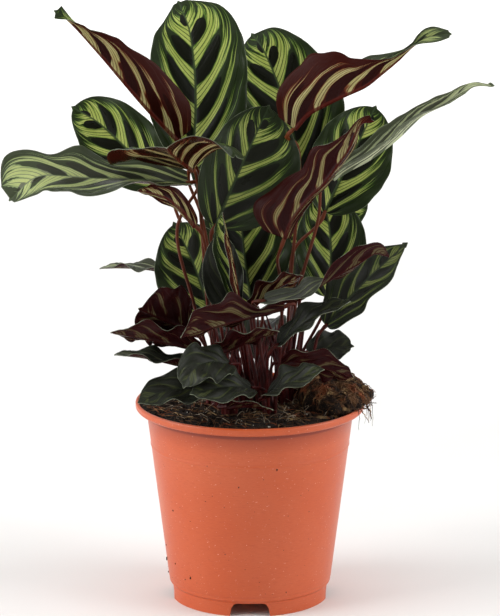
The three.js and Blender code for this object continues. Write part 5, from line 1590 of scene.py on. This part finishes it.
def floor_material(settings):
    """Matt painted studio board: even and pale, with the faintest tooth."""
    return layered_material("Board_painted_matt", settings.floor_colour, (
        ("#ecebe9", 400, 0.4, 0.7, PLAIN),
    ), 0.85, ((2, 0.02, PLAIN),), gloss=0.2)


# ------------------------------------------------------------------ settings

def colour_setting(label, description, code):
    """A colour setting whose default is an sRGB hex value."""
    return FloatVectorProperty(
        name=label, description=description, subtype="COLOR", size=3, min=0, max=1, default=linear(code),
    )


def size_setting(label, description, default, low=0.0, high=1000.0):
    """A size setting in millimetres."""
    return FloatProperty(name=label, description=description + ", in mm", default=default, min=low, max=high)


def count_setting(label, description, default, low=0, high=4000):
    """A whole-number setting."""
    return IntProperty(name=label, description=description, default=default, min=low, max=high)


def power_setting(label, description, default):
    """A lamp's power."""
    return FloatProperty(name=label, description=description, default=default, min=0, unit="POWER")


def length_setting(label, description, default):
    """A length of the stage's, in m."""
    return FloatProperty(name=label, description=description, default=default, unit="LENGTH")


class PotSettings(bpy.types.PropertyGroup):
    columns: count_setting("Columns", "Faces round the pot, not counting the notches", 144, low=48, high=400)
    clods: count_setting("Clods", "Specks of peat stuck to the wall", 60, high=500)
    shell_colour: colour_setting("Shell", "Colour of the moulded plastic", "#c25325")


class SoilSettings(bpy.types.PropertyGroup):
    peat_colour: colour_setting("Peat", "Colour of the moist peat", "#211813")
    heap_colour: colour_setting("Heap", "Colour of the matted old roots", "#24170e")
    fibre_colour: colour_setting("Fibre", "Colour of single dead roots", "#5f4026")
    crumb: size_setting("Crumb", "Height of the peat's crumbly surface", 1.0, high=4)
    crumbs: count_setting("Crumbs", "Loose crumbs on the peat", 900)
    fibres: count_setting("Fibres", "Loose fibres on the peat", 520)
    rootlets: count_setting("Rootlets", "Fine pale roots in the peat", 170, high=2000)
    strands: count_setting("Strands", "Old roots on the heap", 1000)
    hanging: count_setting("Hanging", "How many of them hang over the rim", 18)


class StalkSettings(bpy.types.PropertyGroup):
    radius: size_setting("Radius", "Radius of a stalk", 1.25, low=0.3, high=4)
    sheath_radius: size_setting("Sheath radius", "Radius of a stalk's clasping base", 2.1, low=0.3, high=6)
    sheaths: count_setting("Sheaths", "Bare old sheaths round each crown", 7, high=30)
    joint_radius: size_setting("Joint radius", "Radius of the joint under a blade", 1.6, low=0.3, high=4)
    low_colour: colour_setting("Low colour", "Colour of the stalks near the soil", "#380c0d")
    high_colour: colour_setting("High colour", "Colour of the stalks under the blades", "#6f3614")


class LeafSettings(bpy.types.PropertyGroup):
    thickness: size_setting("Thickness", "Thickness of a blade at its middle", 0.6, low=0.2, high=2)
    ruffle: size_setting("Ruffle", "Height of the small waves along the margin", 2.2, high=6)
    quilting: size_setting("Quilting", "Height of the soft waves between the veins", 0.5, high=2)
    drip_tip: size_setting("Drip tip", "Length of the fine point at a blade's end", 2.2, low=0.5, high=12)
    lobes: FloatProperty(
        name="Lobes", description="Dark lobes on each side, before what the length adds", default=2.2, min=1,
    )
    upper_light: colour_setting("Band", "Pale bands of the upper side", "#c3cc74")
    upper_light_deep: colour_setting("Deeper band", "Deeper patches of the pale bands", "#a6b459")
    upper_net: colour_setting("Net", "Fine cross veins of the pale bands", "#7f9040")
    upper_vein: colour_setting("Vein", "Fine dark veins of the pale bands", "#35481b")
    upper_fringe: colour_setting("Fringe", "Green between a band and the dark", "#55732c")
    upper_margin: colour_setting("Margin", "Margin of the upper side", "#242f17")
    upper_lobe: colour_setting("Lobe", "Dark lobes of the upper side", "#12140b")
    # The old colour is also what painted shade darkens a blade to, and the pale colour is a whitish sheen
    # painted over a blade.
    upper_old: colour_setting("Old leaf", "What an old upper side darkens to", "#272822")
    upper_pale: colour_setting("Pale", "What a bleached upper side turns to", "#c9cfae")
    upper_midrib: colour_setting("Midrib", "Midrib of the upper side", "#36452a")
    upper_edge: colour_setting("Edge", "Thin pale line along the margin", "#5f6a4c")
    under_light: colour_setting("Band, under", "Pale bands of the underside", "#c4be88")
    under_light_deep: colour_setting("Deeper band, under", "Deeper patches of those bands", "#aaa269")
    under_net: colour_setting("Net, under", "Fine cross veins of the underside", "#8a7346")
    under_vein: colour_setting("Vein, under", "Fine dark veins of the underside", "#47240f")
    under_fringe: colour_setting("Fringe, under", "Fading edge of the bands underneath", "#6e3520")
    under_margin: colour_setting("Margin, under", "Margin of the underside", "#361009")
    under_lobe: colour_setting("Lobe, under", "Dark lobes of the underside", "#260906")
    # The same for the underside: old is also the painted shade's colour, and pale is painted sheen.
    under_old: colour_setting("Old leaf, under", "What an old underside darkens to", "#290c0e")
    under_pale: colour_setting("Pale, under", "What a bleached underside turns to", "#aab48e")
    under_midrib: colour_setting("Midrib, under", "Midrib of the underside", "#4f1a12")
    under_edge: colour_setting("Edge, under", "Thin line along the margin of the underside", "#4a2a22")


class StageSettings(bpy.types.PropertyGroup):
    floor_colour: colour_setting("Floor", "Colour of the studio floor", "#f4f3f1")
    left_power: power_setting("Left", "Power of the left softbox", 46)
    right_power: power_setting("Right", "Power of the right softbox", 32)
    top_power: power_setting("Top", "Power of the top softbox", 16)
    backdrop_power: power_setting("Backdrop", "Power of the lamp over the floor behind", 300)
    surround_front: FloatProperty(name="Front", description="Surround, in front and behind", default=0.1)
    surround_side: FloatProperty(name="Sides", description="Surround, at both sides", default=0.7)
    lens: FloatProperty(name="Lens", description="Focal length", default=194.4, min=10, unit="CAMERA")
    distance: length_setting("Distance", "Camera to the pot's axis", 2.392)
    height: length_setting("Height", "Camera above the floor", 0.777)
    pitch: FloatProperty(
        name="Pitch", description="Camera's tilt downwards", default=math.radians(13.11), unit="ROTATION",
    )


# ------------------------------------------------------------------ operators

class PLANT_OT_pot(bpy.types.Operator):
    """Builds the moulded pot and the specks of peat on it"""
    bl_idname = "plant.pot"
    bl_label = "Pot"

    def execute(self, context):
        make_pot(context.scene.plant_pot)
        return {"FINISHED"}


class PLANT_OT_soil(bpy.types.Operator):
    """Builds the peat with its crumbs, perlite, fibres and rootlets"""
    bl_idname = "plant.soil"
    bl_label = "Soil"

    def execute(self, context):
        make_soil(context.scene.plant_soil)
        return {"FINISHED"}


class PLANT_OT_roots(bpy.types.Operator):
    """Builds the heap of old roots that hangs over the rim"""
    bl_idname = "plant.roots"
    bl_label = "Root heap"

    def execute(self, context):
        make_root_clump(context.scene.plant_soil)
        return {"FINISHED"}


class PLANT_OT_stalks(bpy.types.Operator):
    """Builds the stalks of every shoot"""
    bl_idname = "plant.stalks"
    bl_label = "Stalks"

    def execute(self, context):
        make_stalks(context.scene.plant_stalks)
        return {"FINISHED"}


class PLANT_OT_leaves(bpy.types.Operator):
    """Builds every leaf's blade with its markings"""
    bl_idname = "plant.leaves"
    bl_label = "Leaves"

    def execute(self, context):
        make_leaves(context.scene.plant_leaves)
        return {"FINISHED"}


class PLANT_OT_stage(bpy.types.Operator):
    """Builds the floor, the lamps, the surround and the camera"""
    bl_idname = "plant.stage"
    bl_label = "Stage"

    def execute(self, context):
        make_stage(context.scene.plant_stage)
        return {"FINISHED"}


OPERATORS = (PLANT_OT_pot, PLANT_OT_soil, PLANT_OT_roots, PLANT_OT_stalks, PLANT_OT_leaves, PLANT_OT_stage)
SETTINGS = {
    "plant_pot": PotSettings,
    "plant_soil": SoilSettings,
    "plant_stalks": StalkSettings,
    "plant_leaves": LeafSettings,
    "plant_stage": StageSettings,
}


class PLANT_PT_panel(bpy.types.Panel):
    """Lists the plant's pieces in the 3D view's sidebar"""
    bl_label = "Peacock plant"
    bl_idname = "PLANT_PT_panel"
    bl_space_type = "VIEW_3D"
    bl_region_type = "UI"
    bl_category = "Plant"

    def draw(self, context):
        for operator in OPERATORS:
            self.layout.operator(operator.bl_idname)
        for key, kind in SETTINGS.items():
            box = self.layout.box()
            for setting in kind.__annotations__:
                box.prop(getattr(context.scene, key), setting)


def register():
    """Registers the settings, the operators and the panel, and hangs the settings on the scene."""
    for kind in (*SETTINGS.values(), *OPERATORS, PLANT_PT_panel):
        bpy.utils.register_class(kind)
    for key, kind in SETTINGS.items():
        setattr(bpy.types.Scene, key, PointerProperty(type=kind))


def unregister():
    """Undoes what register did, in turn from the last to the first."""
    for key in SETTINGS:
        delattr(bpy.types.Scene, key)
    for kind in (PLANT_PT_panel, *reversed(OPERATORS), *reversed(SETTINGS.values())):
        bpy.utils.unregister_class(kind)


def main():
    """Builds the stage and every piece."""
    register()
    bpy.ops.plant.stage()
    bpy.ops.plant.pot()
    bpy.ops.plant.soil()
    bpy.ops.plant.roots()
    bpy.ops.plant.stalks()
    bpy.ops.plant.leaves()


if __name__ == "__main__":
    main()
